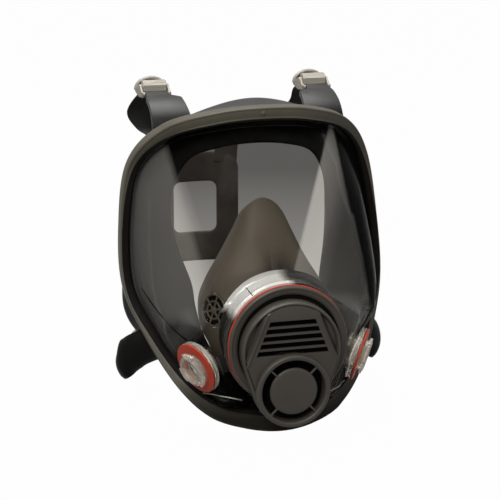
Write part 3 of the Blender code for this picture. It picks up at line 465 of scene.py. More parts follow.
def lensFinish(name, tint, reflectionTone, paintedReflection):
    # clear lens: see-through, gloss by Fresnel, and a painted reflection on the two flat side panels, a pale
    # diffuse film mixed in
    # paintedReflection: share of that painted reflection on the left panel at its crease and further out, and
    # on the right panel
    made, tree, shader = newFinish(name)
    wear = noise(tree, objectPlace(tree), Scale=300.0, Detail=3.0)
    feed(tree, shader, {
        "Roughness": ramp(tree, wear, [(0.35, 0.03), (0.75, 0.08)]),
        "Base Color": (0.012, 0.012, 0.012, 1),
    })
    clear = node(tree, "ShaderNodeBsdfTransparent", Color=(*tint, 1))
    gloss = node(tree, "ShaderNodeFresnel", IOR=1.16)
    glassy = mixed(tree, gloss.outputs["Fac"], clear.outputs["BSDF"], shader.outputs["BSDF"])
    left = math2(tree, "MULTIPLY", planeStep(tree, "left", 0.001), planeStep(tree, "leftEdge", 0.001))
    fading = math2(tree, "MULTIPLY", planeStep(tree, "leftFade", 0.012), paintedReflection[1] - paintedReflection[0])
    left = math2(tree, "MULTIPLY", left, math2(tree, "ADD", fading, paintedReflection[0]))
    right = math2(tree, "MULTIPLY", planeStep(tree, "right", 0.0025), planeStep(tree, "rightEdge", 0.005))
    right = math2(tree, "MULTIPLY", right, paintedReflection[2])
    reflectionFilm = node(tree, "ShaderNodeBsdfDiffuse", Color=(*reflectionTone, 1))
    last = mixed(tree, math2(tree, "MAXIMUM", left, right), glassy, reflectionFilm.outputs["BSDF"])
    tree.links.new(last, tree.nodes["Material Output"].inputs["Surface"])
    return made


finishes = {
    # the band's colour and sheen grow darker towards the chin: painted shade
    "frame": moulded(
        "frame_plastic", (0.062, 0.055, 0.039), (0.080, 0.071, 0.051), (0.42, 0.56),
        grain=1400, grainDepth=0.10, specular=0.32, paintedFade=("Z", -0.058, -0.080, 0.22)),
    # the rubber is darker, with less sheen, below the lug crests and the forehead: painted shade
    "seal": moulded(
        "seal_rubber", (0.010, 0.0093, 0.0083), (0.016, 0.0149, 0.0132), (0.30, 0.42),
        grain=1100, grainDepth=0.12, specular=0.33, paintedFade=("Z", 0.121, 0.102, 0.3)),
    # a round darker patch in the hollow of the nose cup above the centre port: painted shade
    "cup": moulded(
        "cup_rubber", (0.080, 0.065, 0.049), (0.104, 0.086, 0.066), (0.46, 0.60), grain=1500, grainDepth=0.06,
        patch=30, specular=0.25, paintedPatch=((0.0045, -0.060, 0.0195), 0.004, 0.022, 0.26)),
    "cover": moulded(
        "cover_plastic", (0.046, 0.040, 0.032), (0.058, 0.051, 0.041), (0.38, 0.50),
        grain=1600, grainDepth=0.10, specular=0.4),
    "gasket": moulded(
        "gasket_silicone", (0.37, 0.037, 0.016), (0.46, 0.051, 0.024), (0.35, 0.5),
        grain=700, grainDepth=0.06, specular=0.18),
    # pale finish for a painted highlight along the lens's fold
    "edge": moulded(
        "painted_highlight_line", (0.36, 0.34, 0.31), (0.50, 0.48, 0.44), (0.2, 0.3), grain=500, patch=300),
    "valve": moulded("valve_rubber", (0.030, 0.024, 0.017), (0.045, 0.036, 0.026), (0.4, 0.55)),
    # towards the back the rubber is painted lighter with more sheen, on the cradle and the straps' ends, and
    # a round patch low on the cradle lighter still: painted light
    "harness": moulded(
        "harness_rubber", (0.006, 0.0051, 0.0043), (0.011, 0.0094, 0.008), (0.46, 0.62),
        grain=1200, grainDepth=0.14, specular=0.04,
        paintedFade=("Y", 0.13, 0.17, 4.6), paintedPatch=((-0.022, 0.186, -0.032), 0.010, 0.045, 2.6)),
    # near-black with little sheen: painted shade for hollows, grooves and walls seen through openings, also
    # given to the small real parts deep inside
    "inside": moulded(
        "painted_shade_black", (0.003, 0.0028, 0.0025), (0.005, 0.0046, 0.0042), (0.8, 0.95), grainDepth=0.08,
        specular=0.05),
    "clear": clearFinish("clear_plastic", (0.92, 0.87, 0.78), 0.8, 0.05),
    # the adapter and the neck carry a pale arc of painted highlight at the upper left; the neck's dark tone
    # is painted shade
    "adapter": clearFinish("adapter_plastic", (0.26, 0.25, 0.22), 0.9, 0.08, (117, (0.80, 0.88), 1.0)),
    "paintedNeck": clearFinish("neck_plastic", (0.12, 0.115, 0.10), 0.85, 0.10, (119, (0.80, 0.90), 0.85)),
    "nickel": metalFinish("nickel_plate", (0.38, 0.352, 0.30), 0.48),
    # the lens's side panels get a pale film of painted reflection
    "lens": lensFinish("lens_plastic", (0.96, 0.955, 0.94), (0.60, 0.58, 0.53), (0.21, 0.075, 0.085)),
}
print("finishes made:", len(finishes))


# Lens frame: a moulded band round the lens, its section carried round the outline

lensFrame = {  # lists run from forehead to chin
    "edge": [(0, -32, 127), (34, -28, 124), (66, -9, 111), (87, 10, 82), (94, 7, 37), (94, -4, -3),
             (83, -24, -34), (66, -46, -63), (47, -60, -81), (24, -74, -87), (0, -79, -89)],
    "bandWidth": [8.5, 8.5, 8.3, 7.0, 5.4, 5.4, 7.0, 9.0, 11.0, 12.0, 12.0],
    "shadeBead": [0.0, 0.0, 0.12, 0.4, 0.75, 0.72, 0.45, 0.3, 0.1, 0.05, 0.0],  # share of the band it covers
    "shadeBeadIn": [0.9, 0.9, 0.9, 0.9, 1.2, 1.8, 2.6, 2.4, 1.4, 0.9, 0.9],  # how far it goes over the lens
    "wall": 1.9,
    "depth": 11.0,
    "thickness": 3.0,
    "stations": 360,
}
edge = lensFrame["edge"]
at = np.linspace(0, 2 * (len(edge) - 1), lensFrame["stations"], endpoint=False)
bandWidth = halfValue(lensFrame["bandWidth"], at)
bandAway = awayFrom(edge, at)


def frameRing(inward, back):
    # the outer edge moved inward in XZ and back in Y, the way back growing where the outline slopes
    along = loopAt(edge, at + 0.05) - loopAt(edge, at - 0.05)
    along -= (awayFrom(edge, at + 0.05) - awayFrom(edge, at - 0.05)) * max(lensFrame["bandWidth"])
    slope = np.linalg.norm(along, axis=1) / np.linalg.norm(along[:, ::2], axis=1)
    move = -bandAway * np.broadcast_to(inward, len(at))[:, None]
    move[:, 1] += back * slope
    return loopAt(edge, at) + move


def carriedRound(section):
    # a closed section of (inward, back) carried round the frame's outline
    return surface(np.stack([frameRing(inward, back) for inward, back in section]), True, True)


def makeLensFrame():
    w, thin = bandWidth, lensFrame["wall"]
    rear = lensFrame["depth"] - lensFrame["thickness"]
    band = carriedRound([
        (w, -0.8), (w, -1.9), (w - 0.12, -2.6), (w - 0.45, -3.1), (w - 0.9, -3.3), (w - 1.35, -3.15),
        (w - 1.75, -2.95), (0.7 * w, -3.1), (0.45 * w, -3.2), (2.2, -3.05), (1.85, -2.95), (1.4, -3.1),
        (0.95, -3.2), (0.5, -3.0), (0.18, -2.5), (0.03, -1.9), (0, -1.2), (0, 3.0), (0, rear - 0.8),
        (0.3, rear - 0.1), (thin / 2, rear + 0.05), (thin - 0.3, rear - 0.1), (thin, rear - 0.8),
        (thin, -0.3), (thin + 0.3, -0.8), (0.6 * w, -0.8),
    ])
    # the gate mark at the forehead: a low boss
    gatePlace = looking(frameRing(0.5 * w, -3.3)[0] + [-1.5, 0.2, 0.6], (0, -1, 0.35))
    gate = lathe([(0, 0.7), (0.9, 0.65), (1.5, 0.3), (1.9, -0.2), (1.9, -0.8), (0, -0.8)], gatePlace, 24)
    makePiece("lens_frame_band", [band, gate], finishes["frame"], "mask", ["lens_frame"])
    # black bead of painted shade for the dark groove where the lens beds: a low bead over the inner share of
    # the band, widest at the sides
    over = halfValue(lensFrame["shadeBead"], at) * w
    into = w + halfValue(lensFrame["shadeBeadIn"], at)
    bead = carriedRound([
        (into, -0.5), (into + 0.05, -1.6), (into - 0.5, -2.6), (w - 0.2, -3.55),
        (w - 0.5 * over - 0.2, -3.62), (w - over - 0.2, -3.5), (w - over - 0.5, -3.1), (w - over - 0.4, -2.6),
        (w - 0.5 * over, -2.4), (w - 0.2, -2.2), (w + 0.2, -0.5),
    ])
    makePiece("lens_frame_shade_bead", [bead], finishes["harness"], "mask")


makeLensFrame()
print("lens frame made")


# Lens: rings from the rim in the frame to the seat of the centre port, bowed out, flat at the filter ports

lens = {
    "thickness": 2.2,
    "rimReach": 3.6,
    "bowTop": 9.0,
    "bowSide": 17.0,
    "bowChin": 3.0,
    "rings": 44,
    "neckRings": 8,
    "liftSpread": 0.42,  # how far round the neck its root comes forward beside a filter port, in radians
    "paintedNeckFrom": -68.0,  # the neck takes the painted neck finish forward of this depth
    "holeGap": 0.4,
    "fold": [(28.4, -80.2, -64.2), (33.4, -83.6, -61.6), (38.0, -82.3, -60.6), (42.3, -76.2, -61.4),
             (45.4, -69.8, -62.3), (50.5, -60.5, -64.2)],
    "crease": [(84.2, -20.0, 1.0), (81.2, -36.0, -4.0), (75.8, -48.9, -11.2), (69.0, -55.4, -19.0),
               (60.8, -64.8, -25.3), (57.0, -70.3, -27.2)],
    "foldRadius": 0.45,
}


def backBy(depth):
    # a move along Y for each point
    return np.multiply.outer(depth, [0.0, 1.0, 0.0])


def lensRings():
    half = lens["thickness"] / 2
    outer = frameRing(lensFrame["wall"] + 0.7, half)
    inner = frameRing(bandWidth + lens["rimReach"], half)
    turn = np.arctan2(inner[:, 0], inner[:, 2] - centre["height"])
    face = filterPort["face"]
    portTurn = math.atan2(face[0], face[2] - centre["height"])
    lift = np.exp(-(((np.abs(turn) - portTurn) / lens["liftSpread"]) ** 2))
    neck = centre["neckRadius"] - half
    rootDepth = centre["neckRoot"] + (centre["neckFront"] + 3 - centre["neckRoot"]) * lift
    circle = np.stack([np.sin(turn), np.zeros_like(turn), np.cos(turn)], 1)
    seat = np.array([0, 0, centre["height"]])
    root = seat + circle * (neck + 1.5) + backBy(rootDepth)
    upright = np.where(bandAway[:, 2:] > 0, lens["bowTop"], lens["bowChin"])
    bow = upright + (lens["bowSide"] - upright) * np.abs(bandAway[:, :1])
    lean = bandAway * 0.6 + [0, -0.8, 0]
    share = np.linspace(0, 1, lens["rings"])[:, None, None]
    rings = inner + (root - inner) * share + bow * np.sin(np.pi * share) * lean
    # each filter port's flat: points near its axis move onto its plane, less so towards the flat's edge
    blend = filterPort["facetBlend"]
    for _, side in sides:
        origin, turned = portPlace(side, filterPort["lensDepth"])
        local = (rings - origin) @ turned
        near = eased((filterPort["facetRadius"] + blend - np.hypot(local[..., 0], local[..., 1])) / blend)
        near = near * (np.abs(local[..., 2]) < 30) * np.clip(share[..., 0] * 8, 0, 1)
        rings = rings - (near * local[..., 2])[..., None] * turned[:, 2]
    front = np.full_like(turn, centre["neckFront"])
    depth = np.linspace(0.12, 1, lens["neckRings"])[:, None]
    neckRings = seat + circle * neck + backBy(rootDepth + (front - rootDepth) * depth)
    hole = centre["bore"] + centre["tubeWall"] + lens["holeGap"]
    seatRing = seat + circle * hole + backBy(front)
    rim = outer + (inner - outer) * np.array([0, 0.5])[:, None, None]
    return np.concatenate([rim, rings, neckRings, [neckRings[-1] * 0.6 + seatRing * 0.4, seatRing]])


def makeLens():
    shell = wall(lensRings(), lens["thickness"] / 2)
    made = makePiece("lens_shell", [shell], finishes["lens"], "mask", ["lens"])
    for label, side in sides:
        place = portPlace(side, filterPort["lensDepth"])
        size = filterPort["neckRadius"] + lens["holeGap"]
        cutHole(made, f"{label}_hole", place, size, 9, finishes["lens"])
    made.data.shade_smooth()
    made.data.materials.append(finishes["paintedNeck"])
    middle = np.empty(len(made.data.polygons) * 3)
    made.data.polygons.foreach_get("center", middle)
    x, y, z = middle.reshape(-1, 3).T / mm
    onNeck = np.hypot(x, z - centre["height"]) < centre["neckRadius"] + lens["thickness"]
    onNeck &= y < lens["paintedNeckFrom"]
    made.data.polygons.foreach_set("material_index", onNeck.astype(np.int32))
    # a pale bead along the fold below each filter port, a painted highlight, and a black bead along the
    # crease above it, painted shade
    for name, stations, finish in (("fold", 40, "edge"), ("crease", 60, "inside")):
        section = ringOf(lens["foldRadius"], 10)
        parts = [sweep(through(flip(lens[name], side), stations), (0, 0, 1), section) for _, side in sides]
        makePiece(f"lens_{name}", parts, finishes[finish], "mask")


makeLens()
print("lens made")


# Face seal: a lip behind the lens rim, a skirt back to a fold, a flange turned in, and four strap lugs

seal = {
    "thickness": 2.4,
    "fold": [(0, 2, 126), (30, 4, 120), (57, 13, 105), (75, 23, 78), (84, 28, 40), (89, 25, -2),
             (88, 11, -31), (60, -12, -61), (42, -24, -80), (22, -34, -91), (0, -37, -94)],
    "lip": [(0, -6, 97.5), (24, -4, 95), (44, 3, 87), (55, 9, 68), (57.8, 12, 44), (54.5, 3, 21),
            (48, -9, -1), (45.2, -14.5, -20), (36.5, -19, -49), (18.5, -24, -66.5), (0, -25, -72)],
    "rimShow": [5.0, 5.0, 5.0, 5.0, 5.0, 5.0, 3.5, 1.5, 0.0, -0.5, -0.5],
    "lugThickness": 3.6,
    "upperX": 57.0,
    "upperLine": [(8, 96), (9.5, 104), (13, 111.5), (19, 117), (27, 120.5), (36, 122.7), (44, 124.5)],
    "upperStations": 48,
    "upperBuried": 6,  # stations left out at the root, inside the skirt
    "upperHalf": (13.6, 11.6),  # towards the middle, and outwards
    "upperFlare": (6.0, 1.0),
    "upperNeck": (6.2, 10.6),
    "upperNeckAt": (0.78, 0.90),
    "lowerLine": [(66, -16), (78, -8), (90, -3), (97, 4), (95.5, 14), (89, 24), (80, 33)],
    "lowerStations": 60,
    "lowerHalf": (12.5, 8.4),
    "lowerNeckAt": (0.60, 0.95),
    "lowerDome": 6.0,
    "lowerZ": -59.0,
    "lowerFall": (0.45, 0.45),
}


def sealRings():
    half = seal["thickness"] / 2
    behind = lens["thickness"] + 1.2 + half
    inside = lensFrame["wall"] + 0.4 + half
    fold = loopAt(seal["fold"], at)
    lip = loopAt(seal["lip"], at)
    skirt = frameRing(inside, lensFrame["depth"])
    rows = np.stack([
        frameRing(np.maximum(bandWidth + halfValue(seal["rimShow"], at), inside + 3.5), behind + 1.0),
        frameRing(inside + 0.5, behind),
        frameRing(inside, behind + 2.5), skirt, skirt + (fold - skirt) * 0.5, fold + (skirt - fold) * 0.12,
        fold + (lip - fold) * 0.06 + [0, 1.2, 0], fold + (lip - fold) * 0.4 + [0, 1.5, 0],
        fold + (lip - fold) * 0.75, lip,
    ])
    return through(rows, 80)


def drawnIn(s, span):
    # 0 before a stretch of the line and 1 after it
    return eased((s - span[0]) / (span[1] - span[0]))


def upperLug(side):
    # a broad arch over the frame's top edge, flared at its root, drawn in to a neck at the buckle
    count, buried = seal["upperStations"], seal["upperBuried"]
    line = np.insert(through(seal["upperLine"], count), 0, side * seal["upperX"], axis=1)[buried:]
    s = np.linspace(0, 1, count)[buried:]
    neck = drawnIn(s, seal["upperNeckAt"])
    inner, outer = (
        (half + flare * (1 - s) ** 2) * (1 - neck) + end * neck
        for half, flare, end in zip(seal["upperHalf"], seal["upperFlare"], seal["upperNeck"])
    )
    base = roundedBar(1.0, seal["lugThickness"] / 2, 0.6, 5)
    low, high = (outer, inner) if side < 0 else (inner, outer)
    across = np.where(base[:, 0] > 0, high[:, None] + base[:, 0] - 1, -low[:, None] + base[:, 0] + 1)
    profile = np.stack([across, np.broadcast_to(base[:, 1], across.shape)], 2)
    return sweep(line, (1, 0, 0), profile)


def lowerHeight(x, y):
    # height of the lower lug's middle line, falling outwards and back
    reachX, reachY = seal["lowerLine"][3]
    fallX, fallY = seal["lowerFall"]
    return seal["lowerZ"] - fallX * (x - reachX) - fallY * (y - reachY)


def lowerLug(side):
    # a standing tongue that arches outwards and back, domed across its width
    x, y = through(seal["lowerLine"], seal["lowerStations"]).T
    line = np.stack([side * x, y, lowerHeight(x, y)], 1)
    s = np.linspace(0, 1, seal["lowerStations"])
    root, end = seal["lowerHalf"]
    half = root + (end - root) * drawnIn(s, seal["lowerNeckAt"])
    dome = seal["lowerDome"] * np.sin(np.pi * np.clip(s / 0.92, 0, 1)) ** 1.2
    u = np.concatenate([np.linspace(-1, 1, 17), np.linspace(1, -1, 17)])
    face = np.repeat([0.5, -0.5], 17) * seal["lugThickness"] * np.sqrt(np.maximum(1 - np.abs(u) ** 6, 0.04))
    up = face + side * dome[:, None] * u * u
    return sweep(line, (0, 0, 1), np.stack([half[:, None] * u, up], 2))


def makeSeal():
    parts = [wall(sealRings(), seal["thickness"] / 2)]
    for _, side in sides:
        parts += [upperLug(side), lowerLug(side)]
    makePiece("face_seal_rubber", parts, finishes["seal"], "mask", ["face_seal"])


makeSeal()
print("face seal made")


# Nose cup: rings from the soft edge on the face to the collar inside the adapter, and its two check valves

noseCup = {
    "thickness": 2.0,
    "rear": [(0, -16, 57), (10.5, -13, 50), (17.5, -11, 36), (26, -9, 19), (36, -8, 1), (41, -8, -14),
             (39.5, -11, -34), (29, -18, -52), (16, -22, -62), (0, -24, -65)],
    "middle": [(0, -27, 60), (11, -28, 54), (19.5, -30, 38), (28.5, -30, 19), (37.5, -30, 1),
               (41.5, -30, -11), (40.5, -30, -29), (32, -31, -49), (18, -32, -61), (0, -32, -65)],
    "bows": [(0.35, 4.5, 3.0), (0.7, 4.0, 10.0)],  # share of the way to the port, bow, hollow
    "hollowSpread": 0.42,
    "stations": 270,
    "collarLength": 9.0,
    "valveCentre": (38.5, -46.5, -10.0),
    "valveAxis": (0.84, -0.5, 0.2),
    "valveRadius": 11.5,
    "holeGap": 0.4,
    "seatDepth": 5.0,
    "innerRing": (5.4, 6.8),
    "hubRadius": 2.6,
    "spokes": 6,
    "spokeStart": 0.35,
}


def cupRings():
    places = np.linspace(0, 2 * (len(noseCup["rear"]) - 1), noseCup["stations"], endpoint=False)
    rear = loopAt(noseCup["rear"], places)
    middle = loopAt(noseCup["middle"], places)
    away = awayFrom(noseCup["middle"], places)
    turn = np.arctan2(middle[:, 0], middle[:, 2] - centre["height"])
    radius = centre["bore"] - 0.4 - noseCup["thickness"] / 2
    circle = np.stack([radius * np.sin(turn), 0 * turn, centre["height"] + radius * np.cos(turn)], 1)
    root = circle + [0, centre["rear"] + 2, 0]
    rows = [rear, (rear + middle) / 2 + away * 0.6, middle]
    hollow = np.exp(-((turn / noseCup["hollowSpread"]) ** 2))[:, None]
    rows += [middle + (root - middle) * k + away * (bow - sink * hollow) for k, bow, sink in noseCup["bows"]]
    rows += [root, circle + [0, centre["rear"] - noseCup["collarLength"], 0]]
    return through(np.stack(rows), 64)


def cupValvePlace(side):
    return looking(flip(noseCup["valveCentre"], side), flip(noseCup["valveAxis"], side))


def makeNoseCup():
    shell = wall(cupRings(), noseCup["thickness"] / 2)
    cup = makePiece("nose_cup_rubber", [shell], finishes["cup"], "mask", ["nose_cup"])
    for label, side in sides:
        size = noseCup["valveRadius"] + noseCup["holeGap"]
        cutHole(cup, f"{label}_cup_hole", cupValvePlace(side), size, 14, finishes["cup"])
        makeCupSeat(label, side)
    cup.data.shade_smooth()


def makeCupSeat(label, side):
    # outer ring, inner ring and hub, joined by radial spokes, with a near-black wall behind them: painted
    # shade in the holes
    place = cupValvePlace(side)
    r, half, hub = noseCup["valveRadius"], noseCup["seatDepth"] / 2, noseCup["hubRadius"]
    soft = 0.5

    def ring(inside, outside, low, high):
        return lathe([
            (inside, low), (inside, high - soft), (inside + soft, high),
            (outside - soft, high), (outside, high - soft), (outside, low),
        ], place, 64)

    parts = [ring(r - 1.5, r, -half, half), ring(*noseCup["innerRing"], -half, half - 0.3)]
    boss = [(0, half - 0.1), (hub - 0.8, half - 0.2), (hub, half - 0.8), (hub, -half), (0, -half)]
    parts.append(lathe(boss, place, 32))
    bar = roundedBar(0.7, half - 0.5, 0.35, 4)
    for k in range(noseCup["spokes"]):
        angle = 2 * np.pi * k / noseCup["spokes"] + noseCup["spokeStart"]
        parts.append(spoke(place, angle, (hub - 0.6, r - 0.8), 0, bar))
    makePiece(f"{label}_cup_grille", parts, finishes["cup"], "mask", [f"{label}_cup_valve_seat"])
    dark = lathe([(0, half - 1.1), (r - 1.4, half - 1.1), (r - 1.4, half - 1.5), (0, half - 1.5)], place, 48)
    makePiece(f"{label}_cup_grille_shade", [dark], finishes["inside"], "mask")


makeNoseCup()
print("nose cup made")


# Centre port: clear adapter with its moulding seam, and the red gasket

def makeCentrePort():
    place = looking((0, 0, centre["height"]), (0, -1, 0))
    bore, tube, rim = centre["bore"], centre["bore"] + centre["tubeWall"], centre["neckRadius"]
    (back, front), rear = centre["adapter"], -centre["rear"]
    adapter = lathe([
        (bore, front - 0.3), (bore + 0.3, front), (rim - 0.4, front), (rim, front - 0.4), (rim, front - 1.3),
        (rim - 0.5, front - 1.7), (rim - 0.5, back + 2.1), (rim, back + 1.7), (rim, back + 0.4),
        (rim - 0.4, back), (tube, back), (tube, rear + 0.5), (tube - 0.5, rear), (bore + 0.4, rear),
        (bore, rear + 0.4),
    ], place, 128)
    makePiece("centre_adapter_clear", [adapter], finishes["adapter"], "mask", ["centre_adapter"])
    turn = math.radians(centre["seam"])
    way = np.array([math.cos(turn), 0, math.sin(turn)])
    line = way * (rim + 0.05) + backBy(np.linspace(0.3 - front, centre["neckRoot"] - 2, 12)) + place[0]
    # a near-black bar along the seam: painted shade where the seam shows dark
    seam = sweep(line, np.cross([0, 1, 0], way), roundedBar(0.3, 0.25, 0.1, 3))
    makePiece("centre_adapter_seam", [seam], finishes["inside"], "mask")
    out, (low, high) = centre["gasketRadius"], centre["gasket"]
    inside = out - centre["gasketWidth"]
    gasket = lathe([
        (inside, high), (out - 0.8, high), (out - 0.25, high - 0.2), (out, (low + high) / 2),
        (out - 0.25, low + 0.2), (out - 0.8, low), (inside, low),
    ], place, 128)
    makePiece("centre_gasket_ring", [gasket], finishes["gasket"], "mask", ["centre_gasket"])


makeCentrePort()
print("centre port made")


# Front cover: round base, egg-shaped rim, raised panel with the speech slots, valve housing with its guard

cover = {  # depths are counted forward from the face opening
    "eggTop": (-23.6, 33.9),  # height and radius of the rim's large circle
    "valve": (-50.0, 25.6),  # and of its small one
    "rear": 94.1,
    "sleeve": (32.9, 35.1),
    "sleeveLength": 12.0,
    "opening": 30.0,
    "baseRadius": 40.7,
    "baseFront": 97.4,
    "rimWall": 2.2,
    "plate": 105.1,
    "floor": 101.4,
    "panel": 106.4,
    "panelFoot": -58.0,
    "panelMargin": 3.4,
    "panelSlope": 3.4,
    "panelThickness": 2.0,
    "bead": 1.0,
    "beadFoot": -36.0,
    "slots": 5,
    "slotTop": -1.6,
    "slotPitch": 5.0,
    "slotHeight": 3.6,
    "slotHalf": 15.4,
    "slotSpread": 0.4,
    "shadeWall": 98.6,
    "shadeWallFoot": -34.0,
    "shadeWallThickness": 0.8,
    "housing": 110.6,
    "open": 21.7,
    "disc": 16.4,
    "spokes": 4,
    "spokeAngle": 45.0,
}


def eggLean():
    # the turn at which the rim's straight sides leave its two circles
    (zTop, rTop), (zLow, rLow) = cover["eggTop"], cover["valve"]
    return math.asin((rTop - rLow) / (zTop - zLow))


def eggLine(inset, count=240):
    # outline round two circles: the large one above, the valve's below, with straight sides between them
    (zTop, rTop), (zLow, rLow) = cover["eggTop"], cover["valve"]
    lean = eggLean()
    upper = np.linspace(-lean, np.pi + lean, count // 2)
    lower = np.linspace(np.pi + lean, 2 * np.pi - lean, count // 2)
    a = np.stack([(rTop - inset) * np.cos(upper), zTop + (rTop - inset) * np.sin(upper)], 1)
    b = np.stack([(rLow - inset) * np.cos(lower), zLow + (rLow - inset) * np.sin(lower)], 1)
    return np.vstack([a, b])


def eggHalf(z, inset):
    # half width of that outline at a height
    (zTop, rTop), (zLow, rLow) = cover["eggTop"], cover["valve"]
    lean = eggLean()
    joinTop, joinLow = zTop - (rTop - inset) * math.sin(lean), zLow - (rLow - inset) * math.sin(lean)
    top = np.sqrt(np.maximum((rTop - inset) ** 2 - (z - zTop) ** 2, 0))
    low = np.sqrt(np.maximum((rLow - inset) ** 2 - (z - zLow) ** 2, 0))
    straight = (rTop - inset) * math.cos(lean) - (joinTop - z) * math.tan(lean)
    return np.where(z > joinTop, top, np.where(z < joinLow, low, straight))


def coverPanel():
    # half sheet of columns from the middle to the rim: the height eases from the panel down to the floor
    c = cover
    slotTop, slope = c["slotTop"], c["panelSlope"]
    top = sum(c["eggTop"]) - c["rimWall"]
    slotRows = (slotTop - np.arange(c["slots"])[:, None] * c["slotPitch"] - [0, c["slotHeight"]]).ravel()
    above = slotTop + (top - slotTop) * np.sin(np.linspace(0, np.pi / 2, 16))
    below = np.linspace(slotRows[-1], c["panelFoot"], 36)
    z = np.concatenate([above[::-1], slotRows[1:-1], below])
    housing = np.sqrt(np.maximum((c["valve"][1] - 0.8) ** 2 - (z - c["valve"][0]) ** 2, 0))
    edgeAt = np.maximum(eggHalf(z, c["rimWall"]), housing + 0.05)
    slotAt = c["slotHalf"] + c["slotSpread"] * (slotTop - z)
    panelAt = slotAt + c["panelMargin"]
    start = np.minimum(housing, edgeAt)
    # columns: 8 across a slot, 3 beside it, 9 down the slope and 5 on the floor
    steps = (8, 3, 9, 5)
    stops = np.stack([
        start, np.maximum(slotAt, start + 0.02), panelAt, panelAt + slope,
        np.maximum(edgeAt, panelAt + slope + 0.1),
    ], 1)
    share = np.concatenate([[0], *(np.linspace(k, k + 1, count + 1)[1:] for k, count in enumerate(steps))])
    low = np.minimum(np.floor(share).astype(int), len(steps) - 1)
    x = stops[:, low] + (stops[:, low + 1] - stops[:, low]) * (share - low)
    x = np.clip(x, start[:, None], edgeAt[:, None])
    rise = eased((panelAt[:, None] + slope - x) / slope)
    tilt = np.clip((z[:, None] - slotTop) / (top - slotTop), 0, 1) ** 1.5
    crest = c["panel"] - (c["panel"] - c["plate"]) * tilt
    bead = c["bead"] * np.exp(-(((x - panelAt[:, None] - 0.5) / 1.1) ** 2)) * (z[:, None] > c["beadFoot"])
    height = c["floor"] + (crest - c["floor"]) * rise + bead
    half = np.stack([x, -height, np.broadcast_to(z[:, None], x.shape)], 2)
    faces = quads(len(z), len(share), False, False)
    row, column = np.divmod(np.arange(len(faces)), len(share) - 1)
    slotRow = row - (len(above) - 1)
    inSlot = (column < steps[0]) & (slotRow >= 0) & (slotRow < 2 * c["slots"] - 1) & (slotRow % 2 == 0)
    keep = faces[~inSlot].tolist()
    other = half * [-1, 1, 1]
    return [(half.reshape(-1, 3), keep), (other.reshape(-1, 3), [f[::-1] for f in keep])]


def coverShadeWall():
    # a near-black wall behind the slots, of the same egg outline: painted shade seen through them
    z = np.linspace(cover["shadeWallFoot"], sum(cover["eggTop"]) - 3.2, 24)
    x = eggHalf(z, 3.0)[:, None] * np.linspace(-1, 1, 13)
    grid = np.stack([x, np.full_like(x, -cover["shadeWall"]), np.broadcast_to(z[:, None], x.shape)], 2)
    return surface(grid, False, False)


def makeFrontCover():
    c = cover
    place = looking((0, 0, centre["height"]), (0, -1, 0))
    (inner, outer), rear = c["sleeve"], c["rear"]
    r, front, opening = c["baseRadius"], c["baseFront"], c["opening"]
    base = lathe([
        (inner, rear - c["sleeveLength"]), (outer, rear - c["sleeveLength"]), (outer, rear), (r - 0.4, rear),
        (r, rear + 0.4), (r, front - 1.0), (r - 0.15, front - 0.5), (r - 0.5, front - 0.15), (r - 1.1, front),
        (r - 1.7, front - 0.15), (r - 2.2, front - 0.4), (r - 3.1, front - 0.45), (r - 4.8, front - 0.55),
        (r - 5.4, front - 1.0), (r - 5.5, rear + 0.9), (opening, rear + 0.9), (opening, rear), (inner, rear),
    ], place, 160)
    # a near-black ring on the floor of the groove round the opening: painted shade
    groove = lathe([
        (opening, rear + 1.0), (opening, rear + 1.8), (outer, rear + 1.8), (outer, rear + 1.0),
    ], place, 128)
    makePiece("front_cover_groove_shade", [groove], finishes["inside"], "mask")
    plate, wallIn = c["plate"], c["rimWall"]
    section = [  # inset and depth of the rim
        (0, rear + 1.1), (0, plate - 2.5), (0.12, plate - 1.4), (0.45, plate - 0.5), (0.95, plate - 0.05),
        (1.5, plate), (2.0, plate - 0.3), (2.35, plate - 0.9), (2.6, plate - 1.7), (2.8, plate - 2.2),
        (wallIn, plate - 2.7), (wallIn, rear + 1.1),
    ]
    loops = [np.insert(eggLine(inset), 1, -depth, axis=1) for inset, depth in section]
    rim = surface(np.stack(loops), True, True)
    valvePlace = looking((0, 0, c["valve"][0]), (0, -1, 0))
    out, hole, top = c["valve"][1] - 0.3, c["open"], c["housing"]
    housing = lathe([
        (out, rear + 3.5), (out, top - 1.9), (out - 0.15, top - 1.0), (out - 0.6, top - 0.3),
        (out - 1.3, top), (hole + 1.3, top), (hole + 0.5, top - 0.25), (hole + 0.1, top - 0.8),
        (hole, top - 1.6), (hole, rear + 3.5),
    ], valvePlace, 128)
    d = c["disc"]
    disc = lathe([
        (0, top - 0.35), (d - 8.4, top - 0.38), (d - 2.9, top - 0.5), (d - 1.2, top - 0.65),
        (d - 0.5, top - 0.95), (d - 0.1, top - 1.5), (d, top - 2.2), (d - 0.2, top - 2.7),
        (d - 0.8, top - 2.9), (0, top - 2.9),
    ], valvePlace, 96)
    bar = roundedBar(0.6, 0.9, 0.3, 4)
    angles = np.radians(c["spokeAngle"] + 360 / c["spokes"] * np.arange(c["spokes"]))
    guard = [spoke(valvePlace, angle, (d - 0.9, hole + 0.5), top - 1.7, bar) for angle in angles]
    parts = [base, rim, housing, disc, *guard]
    makePiece("front_cover_shell", parts, finishes["cover"], "mask", ["front_cover"])
    panel = makePiece("front_cover_panel", coverPanel(), finishes["cover"], "mask", sharp=30)
    addModifier(panel, "SOLIDIFY", thickness=c["panelThickness"] * mm, offset=-1.0)
    edges = {"limit_method": "ANGLE", "angle_limit": math.radians(50)}
    addModifier(panel, "BEVEL", width=0.3 * mm, segments=2, **edges)
    shadeWall = makePiece("front_cover_shade_wall", [coverShadeWall()], finishes["inside"], "mask")
    addModifier(shadeWall, "SOLIDIFY", thickness=c["shadeWallThickness"] * mm, offset=0.0)


makeFrontCover()
print("front cover made")


# Filter ports: clear bayonet body with a ribbed rim, red gasket

